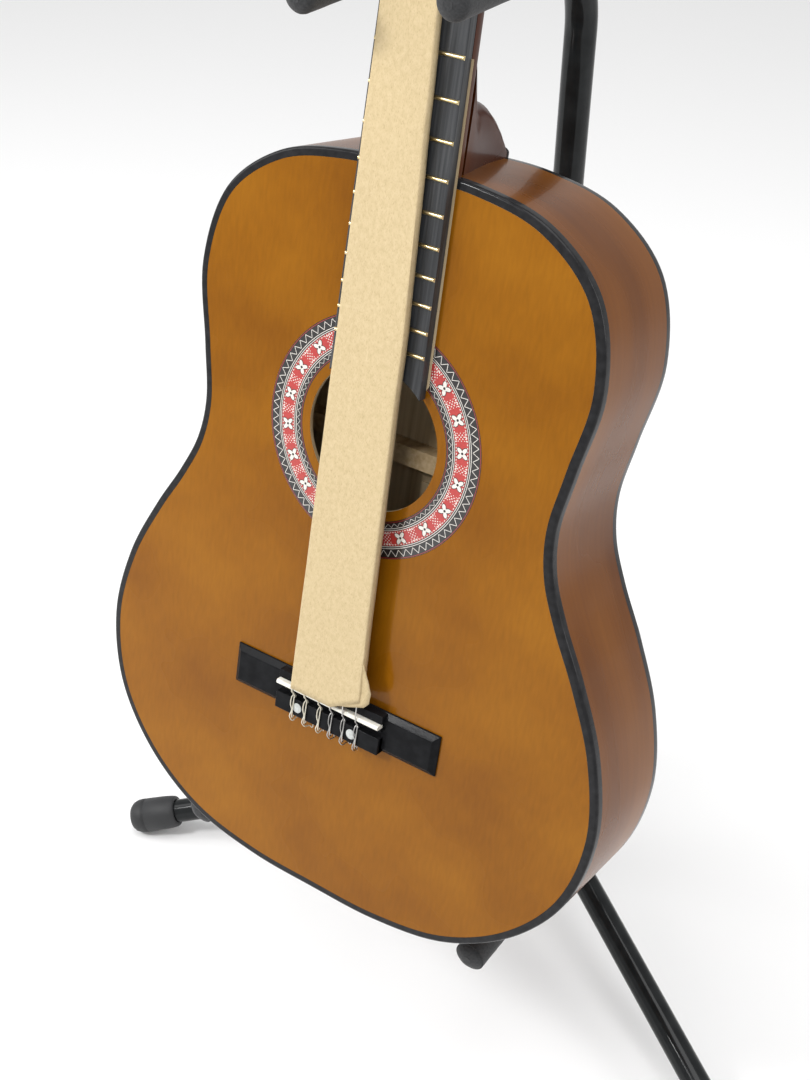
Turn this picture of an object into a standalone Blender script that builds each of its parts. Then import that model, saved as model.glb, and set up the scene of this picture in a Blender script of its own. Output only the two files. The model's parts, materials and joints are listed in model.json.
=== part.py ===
"""A nylon-string guitar resting on a folding tubular stand, as separate pieces.

World frame: +Z up, X across the guitar (its treble side at +X), the front faces -Y. The origin is on
the floor at the centre of the whole object's box. The guitar is drawn lying flat in its own frame (X
across, Y up the neck from the tail, Z out of the soundboard) and hangs on an empty that leans it back.
"""
import bpy
import bmesh
import numpy as np
from math import cos, pi, radians, sin, tan
from mathutils import Matrix, Vector

MM = 0.001
FIT_GAP = 0.3 * MM            # kept between two pieces that touch

# ---- guitar ----
LEAN = 12.0                   # degrees that the guitar leans back on the stand
TAIL_Y = -292.7 * MM          # world place of the soundboard's lowest edge
TAIL_Z = 204.4 * MM
SCALE = 640 * MM              # nut to saddle
BODY_JOINT = 462.3 * MM       # the neck meets the body at the twelfth fret
NUT_Y = BODY_JOINT + SCALE / 2
SADDLE_Y = BODY_JOINT - SCALE / 2
BODY_DEPTH = 79 * MM
PLATE = 2.5 * MM              # soundboard and back
RIM_WALL = 2.2 * MM
BINDING_WIDTH = 4.9 * MM
BINDING_HEIGHT = 6 * MM
# half-widths of the body at heights above the tail, as on a builder's template
BODY_TEMPLATE = ((0, 0), (49, 1.2), (97.8, 11.5), (139.8, 38.3), (169.1, 78.4), (179.1, 128), (169.8, 177),
                 (151.4, 217.2), (134.3, 247.4), (123.4, 272), (119.7, 297.2), (124.1, 331), (130.7, 379),
                 (117.6, 425.4), (83.7, 453), (41.3, 462.8), (0, 463.4))
HOLE_Y = 312 * MM
HOLE_RADIUS = 42.8 * MM
ROSETTE_INNER = 48.5 * MM
ROSETTE_OUTER = 70.6 * MM
ROSETTE_DEPTH = 0.8 * MM
BOARD_HALF_NUT = 23.5 * MM    # fingerboard half-widths
BOARD_HALF_JOINT = 28.3 * MM
BOARD_THICK = 6.3 * MM
BOARD_END_RADIUS = 44.4 * MM  # the end is cut round the soundhole
NECK_DEPTH = 16.5 * MM
HEAD_TILT = 13.0              # degrees that the headstock tips back
HEAD_THICK = 18 * MM
HEAD_LENGTH = 181 * MM
HEAD_HALF = 34 * MM
SLOT_HALF = 7.5 * MM
SLOT_X = 16 * MM
TUNER_START = 62 * MM         # first roller, from the nut end of the headstock
TUNER_PITCH = 36 * MM
BRIDGE_HALF = 75 * MM
BRIDGE_BACK = 122.6 * MM
BRIDGE_FRONT = 150 * MM
TIE_HALF = 38.2 * MM
STRING_SPREAD_SADDLE = 45 * MM
STRING_SPREAD_NUT = 35 * MM
STRING_RADII = (0.56, 0.46, 0.42, 0.5, 0.41, 0.36)   # mm, sixth string to first
SLEEVE_WALL = 0.9 * MM

# ---- stand ----
SHAFT_Y = TAIL_Y + 272 * MM
TUBE_RADIUS = 9.6 * MM        # legs and upper tube
SHAFT_RADIUS = 11.5 * MM
SHAFT_WALL = 1.5 * MM
TUBE_WALL = 1.5 * MM
LEG_SLOPE = 16.1              # degrees below level
LEG_REACH = 319 * MM          # shaft axis to the tip of a foot
PIVOT_REACH = 27 * MM         # shaft axis to the leg and link pins
COLLAR_Z = 95.4 * MM            # height of the leg pins
LINK_LENGTH = 50 * MM
LEG_ANGLES = {"front_left": 210.0, "front_right": 330.0, "rear": 103.0}
YOKE_Z = 749.4 * MM
YOKE_TURN = 8.0               # degrees that the yoke hangs out of level
YOKE_HALF = 44 * MM
CRADLE_Z = 193.4 * MM
CRADLE_HALF = 109 * MM

for old in list(bpy.data.objects):
    bpy.data.objects.remove(old)

parts = bpy.data.collections.new("guitar_on_stand")
cutters = bpy.data.collections.new("cutters")
bpy.context.scene.collection.children.link(parts)
bpy.context.scene.collection.children.link(cutters)


# ---- materials ----
def finish(name, colour, roughness, metallic=0.0):
    material = bpy.data.materials.new(name)
    material.use_nodes = True
    shader = material.node_tree.nodes["Principled BSDF"]
    shader.inputs["Base Color"].default_value = (*colour, 1)
    shader.inputs["Roughness"].default_value = roughness
    shader.inputs["Metallic"].default_value = metallic
    return material


AMBER = finish("amber_lacquer", (0.42, 0.17, 0.03), 0.2)
BROWN = finish("brown_lacquer", (0.19, 0.06, 0.015), 0.2)
BLACK_TRIM = finish("black_trim", (0.015, 0.014, 0.013), 0.3)
RAW_WOOD = finish("raw_wood", (0.62, 0.47, 0.29), 0.7)
BOARD_BLACK = finish("dyed_board", (0.035, 0.036, 0.04), 0.5)
BONE = finish("white_plastic", (0.85, 0.83, 0.76), 0.35)
NYLON = finish("string", (0.75, 0.73, 0.66), 0.3)
NICKEL = finish("nickel_steel", (0.7, 0.68, 0.62), 0.25, 1.0)
KRAFT = finish("kraft_card", (0.68, 0.52, 0.32), 0.85)
BLACK_STEEL = finish("black_steel", (0.012, 0.013, 0.014), 0.25, 0.3)
BLACK_PLASTIC = finish("black_plastic", (0.02, 0.02, 0.022), 0.4)
RUBBER = finish("black_rubber", (0.03, 0.032, 0.034), 0.6)


# ---- modelling helpers ----
def empty(name, location, rotation=(0, 0, 0), parent=None):
    mark = bpy.data.objects.new(name, None)
    mark.location = location
    mark.rotation_euler = rotation
    mark.parent = parent
    parts.objects.link(mark)
    return mark


def place(obj, material, parent=None, location=(0, 0, 0), rotation=(0, 0, 0), target=parts):
    obj.location = location
    obj.rotation_euler = rotation
    obj.parent = parent
    if material:
        obj.data.materials.append(material)
    target.objects.link(obj)
    return obj


def mesh_object(name, bm):
    bmesh.ops.recalc_face_normals(bm, faces=bm.faces)
    mesh = bpy.data.meshes.new(name)
    bm.to_mesh(mesh)
    bm.free()
    mesh.shade_smooth()
    mesh.set_sharp_from_angle(angle=radians(35))
    return bpy.data.objects.new(name, mesh)


def box_mesh(name, low, high):
    bm = bmesh.new()
    bmesh.ops.create_cube(bm, size=1)
    low, high = Vector(low), Vector(high)
    bmesh.ops.transform(bm, verts=bm.verts, matrix=Matrix.Translation((low + high) / 2)
                        @ Matrix.Diagonal((*(high - low), 1)))
    return mesh_object(name, bm)


def cylinder_mesh(name, start, end, radius, radius_end=None, sides=16):
    start, end = Vector(start), Vector(end)
    bm = bmesh.new()
    bmesh.ops.create_cone(bm, cap_ends=True, segments=sides, radius1=radius,
                          radius2=radius if radius_end is None else radius_end, depth=(end - start).length)
    turn = (end - start).to_track_quat("Z", "Y").to_matrix().to_4x4()
    bmesh.ops.transform(bm, verts=bm.verts, matrix=Matrix.Translation((start + end) / 2) @ turn)
    return mesh_object(name, bm)


def flat_curve(name, loops, low, high):
    """A flat plate between two heights: the first loop is its edge, the others are holes."""
    curve = bpy.data.curves.new(name, "CURVE")
    curve.dimensions = "2D"
    curve.fill_mode = "BOTH"
    curve.extrude = (high - low) / 2
    for loop in loops:
        spline = curve.splines.new("POLY")
        spline.points.add(len(loop) - 1)
        for point, (x, y) in zip(spline.points, loop):
            point.co = (x, y, 0, 1)
        spline.use_cyclic_u = True
    return meshed(bpy.data.objects.new(name, curve), Matrix.Translation((0, 0, (low + high) / 2)))


def tube_curve(name, points, radius, resolution=4):
    """A round rod along the points, with its ends closed."""
    curve = bpy.data.curves.new(name, "CURVE")
    curve.dimensions = "3D"
    curve.bevel_depth = radius
    curve.bevel_resolution = resolution
    curve.use_fill_caps = True
    spline = curve.splines.new("POLY")
    spline.points.add(len(points) - 1)
    for point, place_at in zip(spline.points, points):
        point.co = (*place_at, 1)
    return bpy.data.objects.new(name, curve)


def meshed(obj, matrix=Matrix.Identity(4)):
    """Turns a curve object into a welded mesh object."""
    name = obj.name
    bpy.context.scene.collection.objects.link(obj)
    graph = bpy.context.evaluated_depsgraph_get()
    mesh = bpy.data.meshes.new_from_object(obj.evaluated_get(graph))
    bpy.data.objects.remove(obj)
    bm = bmesh.new()
    bm.from_mesh(mesh)
    bmesh.ops.remove_doubles(bm, verts=bm.verts, dist=0.01 * MM)
    bmesh.ops.transform(bm, verts=bm.verts, matrix=matrix)
    bmesh.ops.recalc_face_normals(bm, faces=bm.faces)
    new = mesh_object(name, bm)
    new.name = name
    return new


def turned(name, profile, start, direction, sides=24):
    """A round piece: profile pairs (distance along the axis, radius), turned about the axis."""
    bm = bmesh.new()
    corners = [bm.verts.new((radius, 0, along)) for along, radius in profile]
    edges = [bm.edges.new(pair) for pair in zip(corners, corners[1:])]
    on_axis = profile[0][1] == 0 and profile[-1][1] == 0
    if not on_axis:
        edges.append(bm.edges.new((corners[-1], corners[0])))
    bmesh.ops.spin(bm, geom=corners + edges, cent=(0, 0, 0), axis=(0, 0, 1), angle=2 * pi, steps=sides)
    bmesh.ops.remove_doubles(bm, verts=bm.verts, dist=0.01 * MM)
    turn = Vector(direction).to_track_quat("Z", "Y").to_matrix().to_4x4()
    bmesh.ops.transform(bm, verts=bm.verts, matrix=Matrix.Translation(start) @ turn)
    return mesh_object(name, bm)


def loft(name, sections):
    """A closed skin over sections that have the same number of points."""
    bm = bmesh.new()
    rings = [[bm.verts.new(point) for point in section] for section in sections]
    for near, far in zip(rings, rings[1:]):
        for i in range(len(near)):
            j = (i + 1) % len(near)
            bm.faces.new((near[i], near[j], far[j], far[i]))
    bm.faces.new(rings[0])
    bm.faces.new(rings[-1])
    return mesh_object(name, bm)


def combine(obj, others, operation):
    """Joins the others to the object, or cuts them out of it."""
    for other in others:
        if other.name not in bpy.context.scene.collection.all_objects:
            cutters.objects.link(other)
        other.hide_render = True
        other.display_type = "WIRE"
        change = obj.modifiers.new(other.name, "BOOLEAN")
        change.operation = operation
        change.object = other
    bpy.context.view_layer.update()
    return obj


def circle(x, y, radius, count=24):
    return [(x + radius * cos(2 * pi * i / count), y + radius * sin(2 * pi * i / count)) for i in range(count)]


def smooth_loop(corners, steps):
    """A closed curve through the corners (centripetal Catmull-Rom)."""
    points = []
    count = len(corners)
    for i in range(count):
        quad = [np.array(corners[(i + k) % count]) for k in (-1, 0, 1, 2)]
        knots = [0.0]
        for a, b in zip(quad, quad[1:]):
            knots.append(knots[-1] + np.sqrt(np.linalg.norm(b - a)))
        for t in np.linspace(knots[1], knots[2], steps, endpoint=False):
            level = quad
            for width in (1, 2, 3):
                level = [((knots[j + width] - t) * level[j] + (t - knots[j]) * level[j + 1])
                         / (knots[j + width] - knots[j]) for j in range(len(level) - 1)]
                if width == 2:
                    break
            points.append(((knots[2] - t) * level[0] + (t - knots[1]) * level[1]) / (knots[2] - knots[1]))
    return points


def body_outline(inset=0.0):
    right = [(x * MM, y * MM) for x, y in BODY_TEMPLATE]
    left = [(-x, y) for x, y in right[-2:0:-1]]
    loop = smooth_loop(right + left, 2)
    moved = []
    for i, point in enumerate(loop):
        along = loop[(i + 1) % len(loop)] - loop[i - 1]
        along /= np.linalg.norm(along)
        moved.append((point[0] - along[1] * inset, point[1] + along[0] * inset))
    return moved


def swept_ring(name, profile):
    """A closed ring round the body: profile pairs (distance in from the edge, height)."""
    bm = bmesh.new()
    rings = [[bm.verts.new((x, y, z)) for x, y in body_outline(inset)] for inset, z in profile]
    for near, far in zip(rings, rings[1:] + rings[:1]):
        for i in range(len(near)):
            j = (i + 1) % len(near)
            bm.faces.new((near[i], near[j], far[j], far[i]))
    return mesh_object(name, bm)


def half_width_at(y, inset=0.0):
    """The body's inner half-width at a height above the tail."""
    loop = [p for p in body_outline(inset) if p[0] > 0]
    loop.sort(key=lambda p: p[1])
    return float(np.interp(y, [p[1] for p in loop], [p[0] for p in loop]))


def board_half(y):
    """The fingerboard's half-width."""
    share = (y - BODY_JOINT) / (NUT_Y - BODY_JOINT)
    return BOARD_HALF_JOINT + (BOARD_HALF_NUT - BOARD_HALF_JOINT) * share


# ---- guitar body ----
guitar = empty("guitar_seat", (0, TAIL_Y, TAIL_Z), (radians(90 - LEAN), 0, 0))
inner_edge = BINDING_WIDTH + FIT_GAP
back = -BODY_DEPTH

soundboard = flat_curve("soundboard", [body_outline(inner_edge), circle(0, HOLE_Y, HOLE_RADIUS, 32)], -PLATE, 0)
inlay_bed = flat_curve("inlay_bed", [circle(0, HOLE_Y, ROSETTE_OUTER + FIT_GAP, 32),
                                     circle(0, HOLE_Y, ROSETTE_INNER - FIT_GAP, 32)],
                       -ROSETTE_DEPTH - FIT_GAP, 1 * MM)
combine(soundboard, [inlay_bed], "DIFFERENCE")
place(soundboard, AMBER, guitar)
inlay_bed.parent = guitar
place(flat_curve("rosette", [circle(0, HOLE_Y, ROSETTE_OUTER, 32), circle(0, HOLE_Y, ROSETTE_INNER, 32)],
                 -ROSETTE_DEPTH, 0), BONE, guitar)
place(flat_curve("back_plate", [body_outline(inner_edge)], back, back + PLATE), BROWN, guitar)
place(flat_curve("front_binding", [body_outline(), body_outline(BINDING_WIDTH)], -BINDING_HEIGHT, 0),
      BLACK_TRIM, guitar)
place(flat_curve("back_binding", [body_outline(), body_outline(BINDING_WIDTH)], back, back + BINDING_HEIGHT),
      BLACK_TRIM, guitar)

# the bent rim, with the linings that are glued inside it under both plates
LINING_REACH = BINDING_WIDTH + 6 * MM
LINING_HEIGHT = 13 * MM
rim_front, rim_back = -BINDING_HEIGHT - FIT_GAP, back + BINDING_HEIGHT + FIT_GAP
lining_front, lining_back = -PLATE - FIT_GAP, back + PLATE + FIT_GAP
place(swept_ring("rim", [(0, rim_front), (0, rim_back), (inner_edge, rim_back), (inner_edge, lining_back),
                         (LINING_REACH, lining_back), (LINING_REACH, lining_back + LINING_HEIGHT),
                         (RIM_WALL, lining_back + LINING_HEIGHT), (RIM_WALL, lining_front - LINING_HEIGHT),
                         (LINING_REACH, lining_front - LINING_HEIGHT), (LINING_REACH, lining_front),
                         (inner_edge, lining_front), (inner_edge, rim_front)]), BROWN, guitar)

# glued inside: end blocks and bars
BLOCK_HALF = 32 * MM
BLOCK_INSET = LINING_REACH + FIT_GAP
place(box_mesh("neck_block", (-BLOCK_HALF, BODY_JOINT - 40 * MM, lining_back),
               (BLOCK_HALF, BODY_JOINT - BLOCK_INSET, lining_front)), RAW_WOOD, guitar)
place(box_mesh("tail_block", (-BLOCK_HALF, BLOCK_INSET + 1 * MM, lining_back),
               (BLOCK_HALF, BLOCK_INSET + 14 * MM, lining_front)), RAW_WOOD, guitar)
BARS = {"upper_face_bar": (384, True), "lower_face_bar": (232, True),
        "upper_back_bar": (279, False), "lower_back_bar": (130, False)}
for name, (height, on_front) in BARS.items():
    y = height * MM
    reach = min(half_width_at(y - 7 * MM, LINING_REACH), half_width_at(y + 7 * MM, LINING_REACH)) - 1 * MM
    low, high = (lining_front - 16 * MM, lining_front) if on_front else (lining_back, lining_back + 12 * MM)
    place(box_mesh(name, (-reach, y - 6 * MM, low), (reach, y + 6 * MM, high)), RAW_WOOD, guitar)

# ---- neck, fingerboard, headstock ----
HEEL_START = BODY_JOINT + 1.5 * MM
HEEL_LENGTH = 31 * MM


def neck_section(y, half, depth, shear=0.0):
    """A D-shaped section: flat under the fingerboard, round at the back."""
    points = [(half, y, 0), (half, y - 2 * MM * shear, -2 * MM)]
    for step in range(1, 8):
        turn = pi * step / 8
        z = -2 * MM - (depth - 2 * MM) * sin(turn) ** 0.8
        points.append((half * cos(turn), y + z * shear, z))
    points += [(-half, y - 2 * MM * shear, -2 * MM), (-half, y, 0)]
    return points


NUT_THICK = 4.8 * MM
neck_end = NUT_Y + NUT_THICK + 0.5 * MM
neck_stations = [(HEEL_START, 18 * MM), (HEEL_START + 80 * MM, 17.5 * MM), (NUT_Y - 60 * MM, NECK_DEPTH)]
sections = [neck_section(y, board_half(y), depth) for y, depth in neck_stations]
sections.append(neck_section(neck_end, board_half(NUT_Y), HEAD_THICK - 1 * MM, tan(radians(HEAD_TILT))))
neck = loft("neck", sections)


def heel_section(z, half, length):
    nose = [(half * cos(pi * i / 10), HEEL_START + length * (0.55 + 0.45 * sin(pi * i / 10)), z)
            for i in range(11)]
    return [(half, HEEL_START, z)] + nose + [(-half, HEEL_START, z)]


heel = loft("heel", [heel_section(-1 * MM, 26.5 * MM, HEEL_LENGTH), heel_section(-22 * MM, 24 * MM, HEEL_LENGTH),
                     heel_section(-44 * MM, 18 * MM, HEEL_LENGTH - 1 * MM),
                     heel_section(-62 * MM, 15 * MM, 25 * MM), heel_section(-BODY_DEPTH, 13.5 * MM, 15 * MM)])
combine(neck, [heel], "UNION")
heel.parent = guitar
place(neck, BROWN, guitar)

board_start = HOLE_Y + BOARD_END_RADIUS


def fingerboard_outline():
    arc = []
    for i in range(9):
        x = board_half(HOLE_Y + 33 * MM) * (1 - i / 4)
        arc.append((x, HOLE_Y + (BOARD_END_RADIUS ** 2 - x ** 2) ** 0.5))
    top = NUT_Y - FIT_GAP
    return [(board_half(top), top)] + arc + [(-board_half(top), top)]


place(flat_curve("fingerboard", [fingerboard_outline()[::-1]], FIT_GAP, BOARD_THICK), BOARD_BLACK, guitar)
place(box_mesh("nut", (-BOARD_HALF_NUT, NUT_Y, FIT_GAP), (BOARD_HALF_NUT, NUT_Y + NUT_THICK, 9 * MM)), BONE, guitar)

head = empty("headstock_seat", (0, neck_end + FIT_GAP, 0), (-radians(HEAD_TILT), 0, 0), guitar)
shoulder = board_half(NUT_Y)
head_half = [(shoulder, 0), (shoulder + 1 * MM, 14 * MM), (HEAD_HALF - 1 * MM, 34 * MM), (HEAD_HALF, 50 * MM),
             (HEAD_HALF, 152 * MM), (HEAD_HALF - 4 * MM, 165 * MM), (20 * MM, 173 * MM), (9 * MM, HEAD_LENGTH),
             (0, HEAD_LENGTH - 3 * MM)]
head_outline = head_half + [(-x, y) for x, y in head_half[-2::-1]]


def slot_loop(side):
    x, low, high = side * SLOT_X, TUNER_START - 16 * MM, TUNER_START + 2 * TUNER_PITCH + 14 * MM
    arc_low = [(x + SLOT_HALF * cos(pi + pi * i / 4), low + SLOT_HALF * sin(pi + pi * i / 4)) for i in range(5)]
    arc_high = [(x + SLOT_HALF * cos(pi * i / 4), high + SLOT_HALF * sin(pi * i / 4)) for i in range(5)]
    return arc_low + arc_high


headstock = flat_curve("headstock", [head_outline, slot_loop(-1), slot_loop(1)], -HEAD_THICK, 0)
ROLLER_RADIUS = 4.5 * MM
ROLLER_Z = -HEAD_THICK / 2
roller_bores = []
for number in range(3):
    y = TUNER_START + number * TUNER_PITCH
    bore = cylinder_mesh(f"roller_bore_{number}", (-HEAD_HALF - 5 * MM, y, ROLLER_Z),
                         (HEAD_HALF + 5 * MM, y, ROLLER_Z), ROLLER_RADIUS + FIT_GAP, sides=10)
    bore.parent = head
    roller_bores.append(bore)
combine(headstock, roller_bores, "DIFFERENCE")
place(headstock, BROWN, head)

# ---- tuners: a plate on each side, a geared roller and a worm with its button for each string ----
PLATE_THICK = 1.2 * MM
GEAR_RADIUS = 6 * MM
WORM_RADIUS = 2 * MM
WORM_OFFSET = GEAR_RADIUS + WORM_RADIUS + FIT_GAP
GEAR_X = HEAD_HALF + FIT_GAP + PLATE_THICK + 2 * FIT_GAP
GEAR_THICK = 3 * MM
WORM_X = GEAR_X + GEAR_THICK / 2
BUTTON_TOP = -HEAD_THICK - 6 * MM
BUTTON_LENGTH = 17 * MM


def tuner_set(side, hand):
    plate_low, plate_high = TUNER_START - 11 * MM, TUNER_START + 2 * TUNER_PITCH + 17 * MM
    plate = box_mesh(f"tuner_plate_{side}", (hand * (HEAD_HALF + FIT_GAP), plate_low, -HEAD_THICK + 2 * MM),
                     (hand * (HEAD_HALF + FIT_GAP + PLATE_THICK), plate_high, -2 * MM))
    holes = []
    for number in range(3):
        y = TUNER_START + number * TUNER_PITCH
        hole = cylinder_mesh(f"plate_hole_{side}_{number}", (hand * (HEAD_HALF - 3 * MM), y, ROLLER_Z),
                             (hand * (HEAD_HALF + 5 * MM), y, ROLLER_Z), 2.5 * MM, sides=8)
        hole.parent = head
        holes.append(hole)
        guide_x = (HEAD_HALF + FIT_GAP + 0.5 * MM) * hand
        guide = box_mesh(f"worm_guide_{side}_{number}", (guide_x, y + WORM_OFFSET - 3 * MM, -HEAD_THICK + 2.4 * MM),
                         (hand * (WORM_X + 3.4 * MM), y + WORM_OFFSET + 3 * MM, -HEAD_THICK + 5 * MM))
        worm_bore = cylinder_mesh(f"worm_bore_{side}_{number}", (hand * WORM_X, y + WORM_OFFSET, -HEAD_THICK),
                                  (hand * WORM_X, y + WORM_OFFSET, -HEAD_THICK + 7 * MM), 1.8 * MM, sides=8)
        guide.parent = worm_bore.parent = head
        combine(plate, [guide], "UNION")
        holes.append(worm_bore)
    combine(plate, holes, "DIFFERENCE")
    place(plate, NICKEL, head)
    for number in range(3):
        y = TUNER_START + number * TUNER_PITCH
        roller_seat = empty(f"roller_axis_{side}_{number + 1}", (hand * GEAR_X, y, ROLLER_Z),
                            (0, hand * pi / 2, 0), head)
        inner = GEAR_X - SLOT_X + SLOT_HALF + 5 * MM
        roller = turned(f"roller_{side}_{number + 1}",
                        [(-inner, 0), (-inner, ROLLER_RADIUS), (-GEAR_X + HEAD_HALF - 1 * MM, ROLLER_RADIUS),
                         (-GEAR_X + HEAD_HALF - 1 * MM, 2.2 * MM), (0, 2.2 * MM), (0, GEAR_RADIUS),
                         (GEAR_THICK, GEAR_RADIUS), (GEAR_THICK, 0)], (0, 0, 0), (0, 0, 1), 10)
        place(roller, NICKEL, roller_seat)
        knob_seat = empty(f"worm_axis_{side}_{number + 1}", (hand * WORM_X, y + WORM_OFFSET, 0), (0, 0, 0), head)
        knob = turned(f"tuner_knob_{side}_{number + 1}",
                      [(-BUTTON_TOP + BUTTON_LENGTH * k, r * MM) for k, r in
                       ((1, 0), (1, 3.5), (0.85, 5.4), (0.5, 6.2), (0.15, 4.6), (0, 2.6))]
                      + [(HEAD_THICK - 0.6 * MM, 2.6 * MM), (HEAD_THICK - 0.6 * MM, 1.5 * MM),
                         (HEAD_THICK - 5.4 * MM, 1.5 * MM), (HEAD_THICK - 5.4 * MM, WORM_RADIUS),
                         (3 * MM, WORM_RADIUS), (3 * MM, 0)], (0, 0, 0), (0, 0, -1), 8)
        place(knob, BONE, knob_seat)


tuner_set("bass", -1)
tuner_set("treble", 1)

# ---- bridge, saddle, strings ----
BRIDGE_HEIGHT = 8.6 * MM
WING_HEIGHT = 4.2 * MM
wing_low, wing_high = FIT_GAP, WING_HEIGHT
bevel = 3 * MM
wings = loft("bridge", [
    [(x, y, wing_low) for x, y in ((-BRIDGE_HALF, BRIDGE_BACK), (BRIDGE_HALF, BRIDGE_BACK),
                                   (BRIDGE_HALF, BRIDGE_FRONT), (-BRIDGE_HALF, BRIDGE_FRONT))],
    [(x, y, wing_low + 1 * MM) for x, y in ((-BRIDGE_HALF, BRIDGE_BACK), (BRIDGE_HALF, BRIDGE_BACK),
                                            (BRIDGE_HALF, BRIDGE_FRONT), (-BRIDGE_HALF, BRIDGE_FRONT))],
    [(x, y, wing_high) for x, y in ((-BRIDGE_HALF + bevel, BRIDGE_BACK + bevel),
                                    (BRIDGE_HALF - bevel, BRIDGE_BACK + bevel),
                                    (BRIDGE_HALF - bevel, BRIDGE_FRONT - 1 * MM),
                                    (-BRIDGE_HALF + bevel, BRIDGE_FRONT - 1 * MM))]])
TIE_FRONT = BRIDGE_BACK + 12 * MM
tie_block = box_mesh("tie_block", (-TIE_HALF, BRIDGE_BACK + 0.6 * MM, 1 * MM), (TIE_HALF, TIE_FRONT, BRIDGE_HEIGHT))
saddle_ledge = box_mesh("saddle_ledge", (-TIE_HALF, TIE_FRONT + 4 * MM, 1 * MM),
                        (TIE_HALF, BRIDGE_FRONT - 0.6 * MM, 7.4 * MM))
saddle_slot = box_mesh("saddle_slot", (-TIE_HALF - 5 * MM, SADDLE_Y - 1.5 * MM - FIT_GAP, 5 * MM - FIT_GAP),
                       (TIE_HALF + 5 * MM, SADDLE_Y + 1.5 * MM + FIT_GAP, 12 * MM))
for shape in (tie_block, saddle_ledge, saddle_slot):
    shape.parent = guitar
combine(wings, [tie_block, saddle_ledge], "UNION")
combine(wings, [saddle_slot], "DIFFERENCE")
place(wings, BLACK_TRIM, guitar)
SADDLE_TOP = 10.8 * MM
place(box_mesh("saddle", (-37.5 * MM, SADDLE_Y - 1.5 * MM, 5 * MM), (37.5 * MM, SADDLE_Y + 1.5 * MM, SADDLE_TOP)),
      BONE, guitar)

# the loose strings are gathered under the card sleeve, so they bend at its two ends
SLEEVE_LOW = SADDLE_Y + 2.2 * MM
SLEEVE_HIGH = 640 * MM
SLEEVE_EDGES = ((SLEEVE_LOW, -25.0, 24.6), (220 * MM, -24.4, 22.6), (384 * MM, -23.3, 19.3),
                (548 * MM, -21.6, 12.3), (SLEEVE_HIGH, -21.0, 9.5))
STRING_LIFT = 11.8 * MM


def sleeve_edges(y):
    heights = [row[0] for row in SLEEVE_EDGES]
    return [float(np.interp(y, heights, [row[k] * MM for row in SLEEVE_EDGES])) for k in (1, 2)]


def roller_top(index):
    """Where a string meets its roller: strings 6 to 4 on the bass side, 3 to 1 on the treble side."""
    slot = -1 if index < 3 else 1
    rank = (0, 1, 2, 2, 1, 0)[index]
    x = slot * SLOT_X + (1 - (index % 3)) * 0.5 * MM * slot
    y = TUNER_START + rank * TUNER_PITCH
    return (x, y, ROLLER_Z + ROLLER_RADIUS + 0.9 * MM)


def head_to_guitar(point):
    x, y, z = point
    tilt = radians(HEAD_TILT)
    return (x, neck_end + FIT_GAP + y * cos(tilt) + z * sin(tilt), -y * sin(tilt) + z * cos(tilt))


for index, radius in enumerate(STRING_RADII):
    share = index / 5 - 0.5
    bridge_x = STRING_SPREAD_SADDLE * share
    route = [(bridge_x, TIE_FRONT + 0.8 * MM, 6.4 * MM), (bridge_x, SADDLE_Y - 1.2 * MM, SADDLE_TOP + 0.8 * MM),
             (bridge_x, SADDLE_Y + 1.5 * MM, SADDLE_TOP + 0.9 * MM)]
    for y in (300 * MM, 470 * MM, SLEEVE_HIGH - 12 * MM):
        low, high = sleeve_edges(y)
        room = (high - low) / 2 - SLEEVE_WALL - 1.4 * MM
        half = min(room, STRING_SPREAD_SADDLE / 2)
        route.append(((low + high) / 2 + 2 * half * share, y, STRING_LIFT))
    nut_x = STRING_SPREAD_NUT * share
    route.append((nut_x, NUT_Y + 1 * MM, 9.9 * MM))
    route.append((nut_x, NUT_Y + NUT_THICK, 9.7 * MM))
    route.append(head_to_guitar(roller_top(index)))
    place(tube_curve(f"string_{6 - index}", route, radius * MM, 1), NYLON, guitar)

# ---- card sleeve: an open channel laid over the strings ----
SLEEVE_TOP = 14.2 * MM
SLEEVE_DROP = 9.2 * MM
skins = []
for y, left, right in SLEEVE_EDGES:
    left, right, wall = left * MM, right * MM, SLEEVE_WALL
    skins.append([(left, y, SLEEVE_DROP), (left, y, SLEEVE_TOP), (right, y, SLEEVE_TOP), (right, y, SLEEVE_DROP),
                  (right - wall, y, SLEEVE_DROP), (right - wall, y, SLEEVE_TOP - wall),
                  (left + wall, y, SLEEVE_TOP - wall), (left + wall, y, SLEEVE_DROP)])
place(loft("card_sleeve", skins), KRAFT, guitar)

# ---- stand: shaft, collar and boss ----
BOSS_Z = COLLAR_Z - 2 * LINK_LENGTH * sin(radians(LEG_SLOPE))
SHAFT_LOW = BOSS_Z - 14 * MM
SHAFT_HIGH = 435 * MM
shaft_centre = (0, SHAFT_Y, 0)
place(turned("shaft", [(0, SHAFT_RADIUS - SHAFT_WALL), (0, SHAFT_RADIUS), (SHAFT_HIGH - SHAFT_LOW, SHAFT_RADIUS),
                       (SHAFT_HIGH - SHAFT_LOW, SHAFT_RADIUS - SHAFT_WALL)],
             (0, SHAFT_Y, SHAFT_LOW), (0, 0, 1), 20), BLACK_STEEL)
LUG_HALF = 9.4 * MM
EAR_THICK = 3 * MM
TAB_HALF = 2.6 * MM
PIN_RADIUS = 2.5 * MM


def radial_frame(angle, height=0.0):
    """An empty on the shaft axis whose X points along a leg."""
    return empty(f"radial_{angle:.0f}_{height * 1000:.0f}", (0, SHAFT_Y, height), (0, 0, radians(angle)))


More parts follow.
